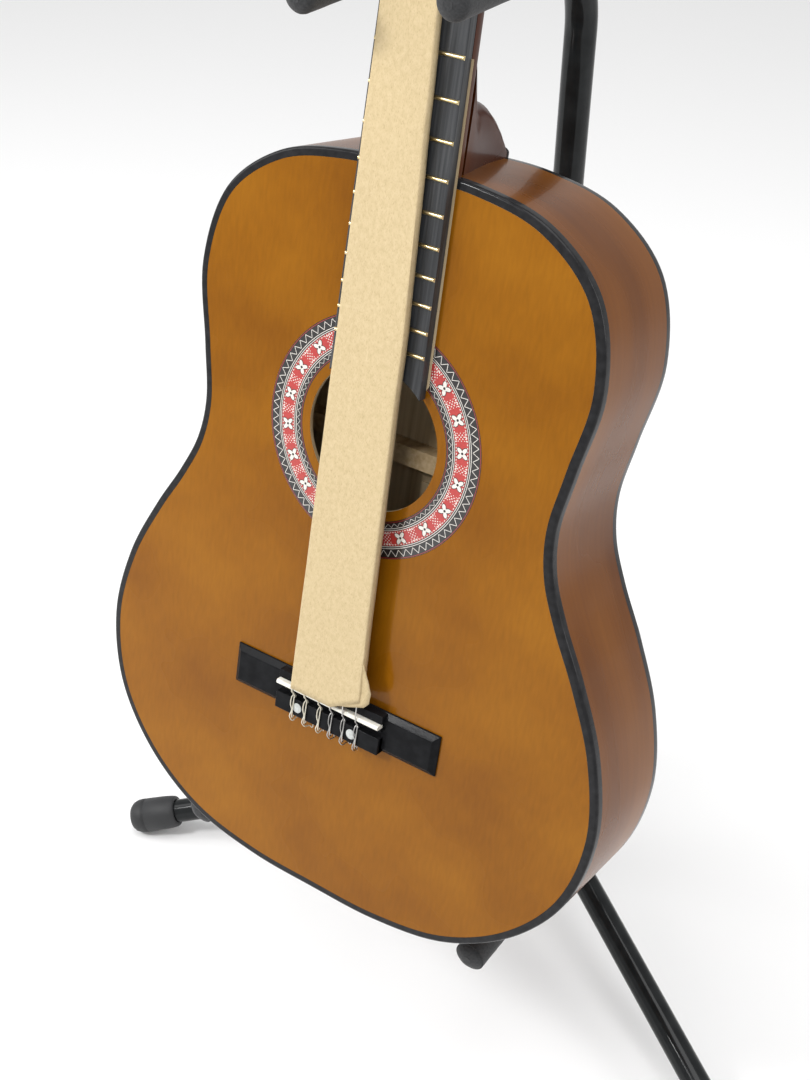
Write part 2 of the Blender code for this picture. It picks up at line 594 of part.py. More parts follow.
def lug(name, side_low, side_high, reach, half_height, from_radius):
    """A round-ended lug in the radial frame, its faces across Y."""
    outline = [(from_radius, -half_height), (reach, -half_height)]
    outline += [(reach + half_height * sin(pi * i / 6), -half_height * cos(pi * i / 6)) for i in range(1, 6)]
    outline += [(reach, half_height), (from_radius, half_height)]
    shape = flat_curve(name, [outline], side_low, side_high)
    shape.data.transform(Matrix.Rotation(-pi / 2, 4, "X"))
    return shape


def link_plate(name, side_low, side_high, length, half_height):
    """A flat bar along X with both ends round, its faces across Y."""
    outline = [(length + half_height * sin(pi * i / 6), -half_height * cos(pi * i / 6)) for i in range(7)]
    outline += [(-half_height * sin(pi * i / 6), half_height * cos(pi * i / 6)) for i in range(7)]
    shape = flat_curve(name, [outline], side_low, side_high)
    shape.data.transform(Matrix.Rotation(-pi / 2, 4, "X"))
    return shape


boss = turned("boss", [(-8 * MM, SHAFT_RADIUS + FIT_GAP), (-8 * MM, 17 * MM), (8 * MM, 17 * MM),
                       (8 * MM, SHAFT_RADIUS + FIT_GAP)], (0, SHAFT_Y, BOSS_Z), (0, 0, 1), 20)
collar = turned("collar", [(-10 * MM, SHAFT_RADIUS + FIT_GAP), (-10 * MM, 19 * MM), (11 * MM, 19 * MM),
                           (11 * MM, SHAFT_RADIUS + FIT_GAP)], (0, SHAFT_Y, COLLAR_Z), (0, 0, 1), 20)
for leg, angle in LEG_ANGLES.items():
    boss_frame = radial_frame(angle, BOSS_Z)
    collar_frame = radial_frame(angle, COLLAR_Z)
    boss_lug = lug(f"boss_lug_{leg}", -LUG_HALF, LUG_HALF, PIVOT_REACH, 6 * MM, 15 * MM)
    bore = cylinder_mesh(f"boss_bore_{leg}", (PIVOT_REACH, -15 * MM, 0), (PIVOT_REACH, 15 * MM, 0),
                         PIN_RADIUS + FIT_GAP, sides=10)
    boss_lug.parent = bore.parent = boss_frame
    combine(boss, [boss_lug], "UNION")
    combine(boss, [bore], "DIFFERENCE")
    for number, side in enumerate((-1, 1)):
        low = side * (TAB_HALF + 0.4 * MM)
        high = side * (TAB_HALF + 0.4 * MM + EAR_THICK)
        ear = lug(f"ear_{leg}_{number}", min(low, high), max(low, high), PIVOT_REACH, 7 * MM, 16 * MM)
        head_pin = cylinder_mesh(f"ear_rivet_{leg}_{number}", (PIVOT_REACH, high - side * 0.5 * MM, 0),
                                 (PIVOT_REACH, high + side * 1.6 * MM, 0), 3.6 * MM, sides=10)
        ear.parent = head_pin.parent = collar_frame
        combine(collar, [ear, head_pin], "UNION")
KNOB_ANGLE = radians(30)
knob_way = Vector((cos(KNOB_ANGLE), sin(KNOB_ANGLE), 0))


def clamp_knob(name, centre, base_radius):
    """A winged thumbscrew whose stem presses on the tube."""
    start = Vector(centre) + knob_way * base_radius
    screw = turned(name, [(0, 0), (0, 2.6 * MM), (11 * MM, 2.6 * MM), (11 * MM, 8 * MM), (13 * MM, 9 * MM),
                          (20 * MM, 9 * MM), (22 * MM, 7.5 * MM), (22 * MM, 0)], (0, 0, 0), (0, 0, 1), 14)
    wing = box_mesh(f"{name}_wing", (-16 * MM, -2.5 * MM, 14 * MM), (16 * MM, 2.5 * MM, 23 * MM))
    seat = empty(f"{name}_axis", start, knob_way.to_track_quat("Z", "Y").to_euler())
    wing.parent = seat
    combine(screw, [wing], "UNION")
    return place(screw, BLACK_PLASTIC, seat)


def knob_boss(host, name, centre, inner, outer):
    """A boss on a clamp for its thumbscrew, drilled for the stem."""
    centre = Vector(centre)
    pad = cylinder_mesh(f"{name}_pad", centre + knob_way * inner, centre + knob_way * outer, 7 * MM, sides=14)
    drill = cylinder_mesh(f"{name}_drill", centre, centre + knob_way * (outer + 5 * MM), 2.6 * MM + FIT_GAP,
                          sides=10)
    combine(host, [pad], "UNION")
    combine(host, [drill], "DIFFERENCE")


collar_knob_at = (0, SHAFT_Y, COLLAR_Z + 4 * MM)
knob_boss(collar, "collar_knob_boss", collar_knob_at, 14 * MM, 22 * MM)
place(boss, BLACK_PLASTIC)
place(collar, BLACK_PLASTIC)
clamp_knob("collar_knob", collar_knob_at, SHAFT_RADIUS + 1 * MM)

# ---- stand: legs, links and feet ----
slope = radians(LEG_SLOPE)
LEG_AXIS_LENGTH = (LEG_REACH - PIVOT_REACH) / cos(slope)
STRAP_IN = TUBE_RADIUS + 0.6 * MM
STRAP_OUT = STRAP_IN + 2 * MM
FOOT_RADIUS = 14 * MM
FOOT_LENGTH = 40 * MM
for leg, angle in LEG_ANGLES.items():
    way = Vector((cos(radians(angle)), sin(radians(angle)), 0))
    top = Vector((0, SHAFT_Y, COLLAR_Z)) + way * PIVOT_REACH
    leg_seat = empty(f"leg_axis_{leg}", top, (0, slope, radians(angle)))
    tube_end = LEG_AXIS_LENGTH - 4 * MM
    bore_radius = TUBE_RADIUS - TUBE_WALL
    leg_tube = turned(f"leg_{leg}", [(19 * MM, 0), (19 * MM, 5 * MM), (24 * MM, TUBE_RADIUS),
                                     (tube_end, TUBE_RADIUS), (tube_end, bore_radius), (32 * MM, bore_radius),
                                     (32 * MM, 0)], (0, 0, 0), (1, 0, 0), 20)
    tab = link_plate(f"tab_{leg}", -TAB_HALF, TAB_HALF, 26 * MM, 5.5 * MM)
    cross_pin = cylinder_mesh(f"cross_pin_{leg}", (LINK_LENGTH, -STRAP_OUT - 1.5 * MM, 0),
                              (LINK_LENGTH, STRAP_OUT + 1.5 * MM, 0), PIN_RADIUS, sides=10)
    tab.parent = cross_pin.parent = leg_seat
    combine(leg_tube, [tab, cross_pin], "UNION")
    place(leg_tube, BLACK_STEEL, leg_seat)

    foot = turned(f"foot_{leg}", [(0, 0), (0, 6 * MM), (3 * MM, 11 * MM), (9 * MM, FOOT_RADIUS),
                                  (26 * MM, FOOT_RADIUS), (FOOT_LENGTH, FOOT_RADIUS - 1.5 * MM),
                                  (FOOT_LENGTH, TUBE_RADIUS + FIT_GAP), (4.3 * MM, TUBE_RADIUS + FIT_GAP),
                                  (4.3 * MM, 0)], (0, 0, 0), (-1, 0, 0), 20)
    place(foot, RUBBER, leg_seat, (LEG_AXIS_LENGTH + 0.6 * MM, 0, 0))

    link_seat = empty(f"link_axis_{leg}", Vector((0, SHAFT_Y, BOSS_Z)) + way * PIVOT_REACH,
                      (0, -slope, radians(angle)))
    straps = []
    for number, side in enumerate((-1, 1)):
        near, far = side * STRAP_IN, side * STRAP_OUT
        strap = link_plate(f"strap_{leg}_{number}", min(near, far), max(near, far), LINK_LENGTH, 5 * MM)
        hole = cylinder_mesh(f"strap_hole_{leg}_{number}", (LINK_LENGTH, near - side * 2 * MM, 0),
                             (LINK_LENGTH, far + side * 2 * MM, 0), PIN_RADIUS + FIT_GAP, sides=10)
        straps.append((strap, hole))
    link = cylinder_mesh(f"link_{leg}", (0, -STRAP_OUT - 1.5 * MM, 0), (0, STRAP_OUT + 1.5 * MM, 0),
                         PIN_RADIUS, sides=10)
    for strap, hole in straps:
        strap.parent = hole.parent = link_seat
        combine(link, [strap], "UNION")
        combine(link, [hole], "DIFFERENCE")
    place(link, BLACK_STEEL, link_seat)

# ---- stand: upper tube, clamp and yoke ----
BEND_RADIUS = 66 * MM
TUBE_TIP_Y = SHAFT_Y - 100 * MM
bend = [(0, SHAFT_Y - BEND_RADIUS * (1 - cos(pi / 2 * i / 8)),
         YOKE_Z - BEND_RADIUS + BEND_RADIUS * sin(pi / 2 * i / 8)) for i in range(9)]
UPPER_LOW = 300 * MM
upper_tube = meshed(tube_curve("upper_tube", [(0, SHAFT_Y, UPPER_LOW)] + bend + [(0, TUBE_TIP_Y, YOKE_Z)],
                               TUBE_RADIUS, 3))
tube_bore = cylinder_mesh("tube_bore", (0, SHAFT_Y, UPPER_LOW - 5 * MM), (0, SHAFT_Y, YOKE_Z - BEND_RADIUS),
                          TUBE_RADIUS - TUBE_WALL, sides=12)
combine(upper_tube, [tube_bore], "DIFFERENCE")
place(upper_tube, BLACK_STEEL)
clamp_low, clamp_high = SHAFT_HIGH - 32 * MM, SHAFT_HIGH + 14 * MM
clamp = turned("height_clamp",
               [(clamp_low, SHAFT_RADIUS + FIT_GAP), (clamp_low, 15 * MM), (clamp_low + 6 * MM, 17 * MM),
                (clamp_high - 6 * MM, 17 * MM), (clamp_high, 14 * MM), (clamp_high, TUBE_RADIUS + FIT_GAP),
                (SHAFT_HIGH + FIT_GAP, TUBE_RADIUS + FIT_GAP), (SHAFT_HIGH + FIT_GAP, SHAFT_RADIUS + FIT_GAP)],
               shaft_centre, (0, 0, 1), 20)
height_knob_at = (0, SHAFT_Y, SHAFT_HIGH + 7 * MM)
knob_boss(clamp, "height_knob_boss", height_knob_at, 12 * MM, 20 * MM)
place(clamp, BLACK_PLASTIC)
clamp_knob("height_knob", height_knob_at, TUBE_RADIUS + 1 * MM)

YOKE_BASE_Y = TAIL_Y + 143.2 * MM
YOKE_TIP_Y = TAIL_Y + 59.2 * MM
PAD_RADIUS = 9 * MM
ROD_RADIUS = 4 * MM
yoke_seat = empty("yoke_axis", (0, YOKE_BASE_Y, YOKE_Z), (0, -radians(YOKE_TURN), 0))


def u_route(half, tip, corner, inset=0.0):
    """Half of a U: from its middle, round one corner to the tip at -Y; then mirrored into the whole."""
    side = [(half - corner + corner * sin(pi / 2 * i / 4), -corner + corner * cos(pi / 2 * i / 4), 0)
            for i in range(5)]
    side.append((half, tip + inset, 0))
    return [(-x, y, z) for x, y, z in side[::-1]] + side


yoke_reach = YOKE_TIP_Y - YOKE_BASE_Y
YOKE_CORNER = 20 * MM


def soft_rod(name, route, radius, sides=12):
    """A rod with dome ends along a route that lies in the XY plane."""
    route = [Vector(point) for point in route]
    dome = [(radius * (1 - cos(pi / 2 * k / 3)), radius * sin(pi / 2 * k / 3)) for k in range(4)]
    dome[0] = (0, radius * 0.3)
    stations = [(route[0] + (route[1] - route[0]).normalized() * along * 0.6, size) for along, size in dome]
    stations += [(point, radius) for point in route[1:-1]]
    stations += [(route[-1] + (route[-2] - route[-1]).normalized() * along * 0.6, size)
                 for along, size in dome[::-1]]
    rings = []
    for i, (centre, size) in enumerate(stations):
        ahead = stations[min(i + 1, len(stations) - 1)][0] - stations[max(i - 1, 0)][0]
        across = ahead.normalized().cross(Vector((0, 0, 1)))
        rings.append([centre + across * size * cos(2 * pi * k / sides) + Vector((0, 0, size * sin(2 * pi * k / sides)))
                      for k in range(sides)])
    return loft(name, rings)


grip = soft_rod("yoke_grip", u_route(YOKE_HALF, yoke_reach, YOKE_CORNER), PAD_RADIUS)
core = meshed(tube_curve("yoke_core_cut", u_route(YOKE_HALF, yoke_reach, YOKE_CORNER, 9 * MM),
                         ROD_RADIUS + FIT_GAP, 2))
stem_cut = cylinder_mesh("yoke_stem_cut", (0, 0, 0), (0, 20 * MM, 0), 7 * MM + FIT_GAP, sides=20)
core.parent = stem_cut.parent = yoke_seat
combine(grip, [core, stem_cut], "DIFFERENCE")
place(grip, RUBBER, yoke_seat)

HUB_FRONT = 11 * MM
yoke = meshed(tube_curve("yoke", u_route(YOKE_HALF, yoke_reach, YOKE_CORNER, 9.4 * MM), ROD_RADIUS, 2))
stem = turned("yoke_stem", [(0, 0), (0, 7 * MM), (HUB_FRONT, 7 * MM), (HUB_FRONT, 13 * MM),
                            (TUBE_TIP_Y - YOKE_BASE_Y + 22 * MM, 13 * MM),
                            (TUBE_TIP_Y - YOKE_BASE_Y + 22 * MM, TUBE_RADIUS + FIT_GAP),
                            (TUBE_TIP_Y - YOKE_BASE_Y - FIT_GAP, TUBE_RADIUS + FIT_GAP),
                            (TUBE_TIP_Y - YOKE_BASE_Y - FIT_GAP, 0)], (0, 0, 0), (0, 1, 0), 20)
stem.parent = yoke_seat
combine(yoke, [stem], "UNION")
place(yoke, BLACK_STEEL, yoke_seat)

# ---- stand: lower cradle and its pads ----
CRADLE_BACK = SHAFT_Y - 22 * MM
CRADLE_TIP = TAIL_Y + 16 * MM
CRADLE_ROD = 5 * MM
CRADLE_PAD = 10 * MM
PAD_LENGTH = 118 * MM
cradle_seat = empty("cradle_seat", (0, CRADLE_BACK, CRADLE_Z))
cradle_reach = CRADLE_TIP - CRADLE_BACK
cradle = meshed(tube_curve("cradle", u_route(CRADLE_HALF, cradle_reach, 34 * MM, 6 * MM), CRADLE_ROD, 3))
bracket = turned("cradle_bracket", [(-14 * MM, SHAFT_RADIUS + FIT_GAP), (-14 * MM, 17 * MM), (14 * MM, 17 * MM),
                                    (14 * MM, SHAFT_RADIUS + FIT_GAP)], (0, 22 * MM, 0), (0, 0, 1), 20)
bridge_plate = box_mesh("cradle_plate", (-26 * MM, -4 * MM, -7 * MM), (26 * MM, 7.5 * MM, 7 * MM))
bracket.parent = bridge_plate.parent = cradle_seat
combine(cradle, [bracket, bridge_plate], "UNION")
place(cradle, BLACK_STEEL, cradle_seat)
for side, hand in (("left", -1), ("right", 1)):
    bore = CRADLE_ROD + FIT_GAP
    pad = turned(f"cradle_pad_{side}", [(0, 0), (0, 4.5 * MM), (1.5 * MM, 7.4 * MM), (4.5 * MM, CRADLE_PAD),
                                        (PAD_LENGTH, CRADLE_PAD), (PAD_LENGTH, bore), (5.6 * MM, bore),
                                        (5.6 * MM, 0)], (0, 0, 0), (0, 1, 0), 20)
    place(pad, RUBBER, None, (hand * CRADLE_HALF, CRADLE_TIP, CRADLE_Z))
bpy.context.view_layer.update()
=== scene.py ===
"""A nylon-string guitar leaning on its folding stand, with its finished surfaces."""
import json
from math import cos, pi, radians, sin

import bmesh
import bpy
import numpy as np
from mathutils import Matrix, Vector, noise


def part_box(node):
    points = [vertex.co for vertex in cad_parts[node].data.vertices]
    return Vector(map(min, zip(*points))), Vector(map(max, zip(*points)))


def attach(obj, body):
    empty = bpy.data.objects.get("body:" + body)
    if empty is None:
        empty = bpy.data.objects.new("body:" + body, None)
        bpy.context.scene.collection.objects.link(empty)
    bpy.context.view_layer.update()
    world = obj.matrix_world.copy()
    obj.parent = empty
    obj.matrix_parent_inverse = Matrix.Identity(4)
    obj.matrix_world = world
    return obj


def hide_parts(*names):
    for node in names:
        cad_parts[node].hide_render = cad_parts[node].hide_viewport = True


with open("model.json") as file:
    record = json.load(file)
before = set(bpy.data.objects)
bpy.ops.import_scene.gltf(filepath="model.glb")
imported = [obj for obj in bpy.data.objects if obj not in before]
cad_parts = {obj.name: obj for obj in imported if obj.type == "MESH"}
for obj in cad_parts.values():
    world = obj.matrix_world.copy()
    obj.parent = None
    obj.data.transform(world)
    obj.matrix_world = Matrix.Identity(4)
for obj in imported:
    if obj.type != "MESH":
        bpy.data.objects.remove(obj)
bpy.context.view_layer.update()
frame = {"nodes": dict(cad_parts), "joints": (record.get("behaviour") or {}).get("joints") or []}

MM = 0.001

# ---- studio ----
# A plain pale floor, a bright even room, large soft lamps above and at the sides, and a camera that
# looks down at the guitar's face from its right.


def plain_paint(name, colour, roughness):
    """A shader of one colour."""
    material = bpy.data.materials.new(name)
    material.use_nodes = True
    shader = material.node_tree.nodes["Principled BSDF"]
    shader.inputs["Base Color"].default_value = (*colour, 1)
    shader.inputs["Roughness"].default_value = roughness
    return material


def soft_lamp(name, place, aim, size, watts):
    lamp = bpy.data.objects.new(name, bpy.data.lights.new(name, "AREA"))
    lamp.data.shape = "RECTANGLE"
    lamp.data.size, lamp.data.size_y = size
    lamp.data.energy = watts
    lamp.location = place
    lamp.rotation_euler = (Vector(aim) - Vector(place)).to_track_quat("-Z", "Y").to_euler()
    bpy.context.scene.collection.objects.link(lamp)


FLOOR_HALF = 6.0
floor_skin = bpy.data.meshes.new("floor")
floor_skin.from_pydata([(x * FLOOR_HALF, y * FLOOR_HALF, 0) for x, y in ((-1, -1), (1, -1), (1, 1), (-1, 1))],
                       [], [(0, 1, 2, 3)])
floor = bpy.data.objects.new("floor", floor_skin)
floor_skin.materials.append(plain_paint("floor_white", (0.93, 0.93, 0.93), 0.6))
bpy.context.scene.collection.objects.link(floor)

room = bpy.data.worlds.new("bright_room")
room.use_nodes = True
room.node_tree.nodes["Background"].inputs["Color"].default_value = (1, 1, 1, 1)
room.node_tree.nodes["Background"].inputs["Strength"].default_value = 0.72
bpy.context.scene.world = room
bpy.context.scene.view_settings.view_transform = "Standard"
MIDDLE = (0, -0.15, 0.5)
soft_lamp("lamp_above", (0.2, -0.5, 2.6), MIDDLE, (1.6, 1.2), 22)
soft_lamp("lamp_left", (-1.9, -1.1, 1.5), MIDDLE, (0.9, 1.6), 16)
soft_lamp("lamp_right", (1.7, 0.6, 1.3), MIDDLE, (0.5, 1.5), 12)
soft_lamp("lamp_front", (-0.75, -1.35, 1.6), (0.02, -0.2, 0.5), (0.3, 0.3), 16)

camera = bpy.data.objects.new("camera", bpy.data.cameras.new("camera"))
camera.data.sensor_width = 36
camera.data.lens = 51.63
camera.location = (0.4237, -0.8281, 0.9614)
camera.rotation_euler = [radians(angle) for angle in (54.649, -1.068, 34.449)]
bpy.context.scene.collection.objects.link(camera)
bpy.context.scene.camera = camera

# ---- soundboard ----
# A thin laminated top under amber gloss lacquer, cut round the soundhole and let in between the
# bindings. Its edge at the soundhole and its inner face are bare pale wood.


def frame_at(origin, outward):
    """A frame with X across the guitar and Z pointing outward."""
    across = Vector((1, 0, 0))
    columns = (across, outward.cross(across), outward, Vector(origin))
    return Matrix([[column[row] for column in columns] for row in range(3)] + [[0, 0, 0, 1]])


class Surface:
    """A material under construction: the shader and the nodes that feed it."""

    def __init__(self, name, roughness, metallic=0.0, coat=0.0, coat_roughness=0.05):
        self.material = bpy.data.materials.new(name)
        self.material.use_nodes = True
        self.tree = self.material.node_tree
        self.shader = self.tree.nodes["Principled BSDF"]
        for socket, value in (("Roughness", roughness), ("Metallic", metallic), ("Coat Weight", coat),
                              ("Coat Roughness", coat_roughness)):
            self.shader.inputs[socket].default_value = value

    def add(self, kind, *links, **settings):
        """A node; links pair an input with a value or with another node's output."""
        new = self.tree.nodes.new(kind)
        for key, value in settings.items():
            setattr(new, key, value)
        for key, value in links:
            if isinstance(value, bpy.types.NodeSocket):
                self.tree.links.new(value, new.inputs[key])
            else:
                new.inputs[key].default_value = value
        return new

    def grain(self, stretch, detail=4.0, source="Object", turn=(0, 0, 0)):
        """Noise between 0 and 1; stretch is how many waves it has in a metre along X, Y and Z."""
        where = self.add("ShaderNodeTexCoord").outputs[source]
        mapped = self.add("ShaderNodeMapping", ("Vector", where), ("Scale", stretch), ("Rotation", turn))
        return self.add("ShaderNodeTexNoise", ("Vector", mapped.outputs[0]), ("Scale", 1.0),
                        ("Detail", detail)).outputs[0]

    def ramp(self, amount, *stops):
        """Turns an amount into a colour or a grey: stops pair a position with a colour."""
        new = self.add("ShaderNodeValToRGB", ("Fac", amount))
        band = new.color_ramp.elements
        for element, (position, colour) in zip((band[0], band[1]), stops):
            element.position, element.color = position, (*colour, 1)
        for position, colour in stops[2:]:
            band.new(position).color = (*colour, 1)
        return new.outputs[0]

    def mix(self, amount, first, second, how="MIX"):
        return self.add("ShaderNodeMix", (0, amount), (6, first), (7, second), data_type="RGBA",
                        blend_type=how).outputs[2]

    def wear(self, amount, low, high):
        """Roughness that varies between two values."""
        spread = self.add("ShaderNodeMapRange", ("Value", amount), ("To Min", low), ("To Max", high))
        self.tree.links.new(spread.outputs[0], self.shader.inputs["Roughness"])

    def colour(self, socket):
        self.tree.links.new(socket, self.shader.inputs["Base Color"])

    def bump(self, height, depth):
        """Relief of a depth in metres."""
        relief = self.add("ShaderNodeBump", ("Height", height), ("Distance", depth), ("Strength", 1.0))
        self.tree.links.new(relief.outputs[0], self.shader.inputs["Normal"])
        if self.shader.inputs["Coat Weight"].default_value:
            self.tree.links.new(relief.outputs[0], self.shader.inputs["Coat Normal"])


def lacquered_wood(name, dark, middle, light, stretch=(420, 9, 420), cloud=(9, 16, 9), source="Object"):
    """Stained wood under gloss lacquer, its grain running along Y."""
    surface = Surface(name, 0.3, coat=0.2, coat_roughness=0.04)
    surface.shader.inputs["Specular IOR Level"].default_value = 0.08
    fine = surface.grain(stretch, 5, source)
    broad = surface.grain(cloud, 2, source)
    tone = surface.ramp(broad, (0.3, dark), (0.72, light), (0.5, middle))
    lines = surface.ramp(fine, (0.25, (0.88, 0.87, 0.85)), (0.75, (1.04, 1.04, 1.04)))
    surface.colour(surface.mix(1.0, tone, lines, "MULTIPLY"))
    surface.wear(broad, 0.22, 0.34)
    surface.bump(surface.grain((26, 14, 26), 2, source), 0.00022)
    return surface.material


def bare_wood(name, dark, light):
    surface = Surface(name, 0.75)
    lines = surface.grain((300, 10, 300), 6)
    surface.colour(surface.ramp(lines, (0.3, dark), (0.7, light)))
    surface.bump(lines, 0.0002)
    return surface.material


def catmull_rom(corners, steps):
    """A closed smooth curve through the corners, with the knots spaced by the root of each chord."""
    points = []
    count = len(corners)
    for i in range(count):
        quad = [np.array(corners[(i + k) % count]) for k in (-1, 0, 1, 2)]
        knots = [0.0]
        for a, b in zip(quad, quad[1:]):
            knots.append(knots[-1] + np.sqrt(np.linalg.norm(b - a)))
        for t in np.linspace(knots[1], knots[2], steps, endpoint=False):
            level = quad
            for span, count_left in ((1, 3), (2, 2)):
                level = [((knots[j + span] - t) * level[j] + (t - knots[j]) * level[j + 1])
                         / (knots[j + span] - knots[j]) for j in range(count_left)]
            points.append(((knots[2] - t) * level[0] + (t - knots[1]) * level[1]) / (knots[2] - knots[1]))
    return points


BODY_HALF = ((0, 0), (49, 1.2), (97.8, 11.5), (139.8, 38.3), (169.1, 78.4), (179.1, 128), (169.8, 177),
             (151.4, 217.2), (134.3, 247.4), (123.4, 272), (119.7, 297.2), (124.1, 331), (130.7, 379),
             (117.6, 425.4), (83.7, 453), (41.3, 462.8), (0, 463.4))
BINDING_WIDTH, BINDING_HEIGHT = 4.9 * MM, 6 * MM
BODY_DEPTH, PLATE = 79 * MM, 2.5 * MM
HOLE_Y, HOLE_RADIUS = 312 * MM, 42.8 * MM
ROSETTE_INNER, ROSETTE_OUTER = 48.5 * MM, 70.6 * MM
SEAM = 0.1 * MM
swing = {joint["name"]: joint for joint in frame["joints"]}
face_out = Vector(swing["sleeve_lift"]["axis"])
binding_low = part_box("front_binding")[0]
GUITAR = frame_at((0, binding_low.y, binding_low.z + BINDING_HEIGHT * face_out.z), face_out)
_right = [(x * MM, y * MM) for x, y in BODY_HALF]
BODY_LOOP = catmull_rom(_right + [(-x, y) for x, y in _right[-2:0:-1]], 10)


def body_loop(inset=0.0):
    moved = []
    for i, point in enumerate(BODY_LOOP):
        along = BODY_LOOP[(i + 1) % len(BODY_LOOP)] - BODY_LOOP[i - 1]
        along = along / np.linalg.norm(along)
        moved.append((point[0] - along[1] * inset, point[1] + along[0] * inset))
    return moved


def arc(x, y, radius, start, stop, steps):
    """Points round a centre, from one angle to another."""
    turns = [start + (stop - start) * i / steps for i in range(steps + 1)]
    return [(x + radius * cos(turn), y + radius * sin(turn)) for turn in turns]


def hole_loop(radius):
    return arc(0, HOLE_Y, radius, 0, 2 * pi, 96)[:-1]


def settle(skin, name, body, materials, nodes=(), place=Matrix(), bevel=0.0, sharp=35):
    """Makes the skin a finished piece in its place on its body, in place of its plain solids."""
    mesh = bpy.data.meshes.new(name)
    bmesh.ops.recalc_face_normals(skin, faces=skin.faces)
    skin.to_mesh(mesh)
    skin.free()
    for material in materials:
        mesh.materials.append(material)
    mesh.shade_smooth()
    mesh.set_sharp_from_angle(angle=radians(sharp))
    piece = bpy.data.objects.new(name, mesh)
    bpy.context.scene.collection.objects.link(piece)
    piece.matrix_world = place
    if bevel:
        edge = piece.modifiers.new("eased_edges", "BEVEL")
        edge.width = bevel
        edge.segments = 3
        edge.limit_method = "ANGLE"
        edge.angle_limit = radians(sharp)
        edge.harden_normals = True
    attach(piece, body)
    if nodes:
        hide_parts(*nodes)
    return piece


def plate(skin, loops, low, high, face=0, under=None, side=None, turn=Matrix()):
    """Adds a flat plate: the first loop is its edge, the others are holes."""
    curve = bpy.data.curves.new("outline", "CURVE")
    curve.dimensions = "2D"
    curve.fill_mode = "BOTH"
    curve.extrude = (high - low) / 2
    for loop in loops:
        spline = curve.splines.new("POLY")
        spline.points.add(len(loop) - 1)
        for point, (x, y) in zip(spline.points, loop):
            point.co = (x, y, 0, 1)
        spline.use_cyclic_u = True
    outline = bpy.data.objects.new("outline", curve)
    bpy.context.scene.collection.objects.link(outline)
    made = bpy.data.meshes.new_from_object(outline.evaluated_get(bpy.context.evaluated_depsgraph_get()))
    bpy.data.objects.remove(outline)
    new = bmesh.new()
    new.from_mesh(made)
    bmesh.ops.remove_doubles(new, verts=new.verts, dist=0.005 * MM)
    bmesh.ops.dissolve_limit(new, angle_limit=0.001, verts=new.verts,
                             edges=[edge for edge in new.edges if edge.calc_face_angle(1) < 0.001])
    for polygon in new.faces:
        upright = abs(polygon.normal.z) > 0.5
        top = polygon.calc_center_median().z > 0
        chosen = (face if top or under is None else under) if upright else (face if side is None else side)
        polygon.material_index = chosen
    bmesh.ops.transform(new, verts=new.verts, matrix=turn @ Matrix.Translation((0, 0, (low + high) / 2)))
    new.to_mesh(made)
    new.free()
    skin.from_mesh(made)
    return skin


amber = lacquered_wood("amber_lacquer", (0.2, 0.068, 0.002), (0.245, 0.088, 0.0025), (0.29, 0.11, 0.004),
                       (500, 90, 500), (11, 13, 11))
raw = bare_wood("raw_wood", (0.42, 0.31, 0.17), (0.62, 0.49, 0.31))
board_loop = body_loop(BINDING_WIDTH + SEAM)
settle(plate(bmesh.new(), [board_loop, hole_loop(ROSETTE_OUTER + SEAM)], -PLATE, 0, 0, 1, 1),
       "soundboard_lacquered", "guitar", [amber, raw], ["soundboard"], GUITAR)
INLAY_DEPTH = 0.8 * MM
hole_ring = plate(bmesh.new(), [hole_loop(ROSETTE_INNER - SEAM), hole_loop(HOLE_RADIUS)], -PLATE, 0, 0, 1, 1)
plate(hole_ring, [hole_loop(ROSETTE_OUTER + SEAM), hole_loop(ROSETTE_INNER - SEAM)],
      -PLATE, -INLAY_DEPTH - 0.2 * MM, 1)
settle(hole_ring, "soundhole_edge", "guitar", [amber, raw], (), GUITAR)

# ---- rosette ----
# A ring of printed inlay let in flush round the soundhole: dark and white rings, two zigzag bands and
# a red mosaic with twenty four-petalled white flowers outlined in black.


def gloss_ink(name, colour):
    surface = Surface(name, 0.3, coat=0.8)
    speck = surface.grain((900, 900, 900), 2)
    worn = tuple(channel * 0.82 for channel in colour)
    surface.colour(surface.ramp(speck, (0.3, worn), (0.6, colour)))
    return surface.material


INKS = [gloss_ink("rosette_black", (0.012, 0.01, 0.01)), gloss_ink("rosette_white", (0.78, 0.74, 0.68)),
        gloss_ink("rosette_red", (0.46, 0.035, 0.03))]
BLACK, WHITE, RED = 0, 1, 2
rosette = bmesh.new()


def polar(radius, angle):
    return (radius * MM * cos(angle), HOLE_Y + radius * MM * sin(angle))


def inlay_ring(inner, outer, ink, height, count=160):
    for i in range(count):
        a, b = 2 * pi * i / count, 2 * pi * (i + 1) / count
        corners = [polar(inner, a), polar(outer, a), polar(outer, b), polar(inner, b)]
        rosette.faces.new([rosette.verts.new((*corner, height)) for corner in corners]).material_index = ink


def inlay_patch(points, ink, height):
    rosette.faces.new([rosette.verts.new((*point, height)) for point in points]).material_index = ink


def zigzag(inner, outer, teeth, width, ink, height):
    """A thin line that runs to and fro between two radii."""
    half = pi / teeth
    for i in range(2 * teeth):
        ends = (inner, outer) if i % 2 else (outer, inner)
        inlay_patch([polar(ends[0], half * i - width / ends[0]), polar(ends[0], half * i + width / ends[0]),
                     polar(ends[1], half * (i + 1) + width / ends[1]),
                     polar(ends[1], half * (i + 1) - width / ends[1])], ink, height)


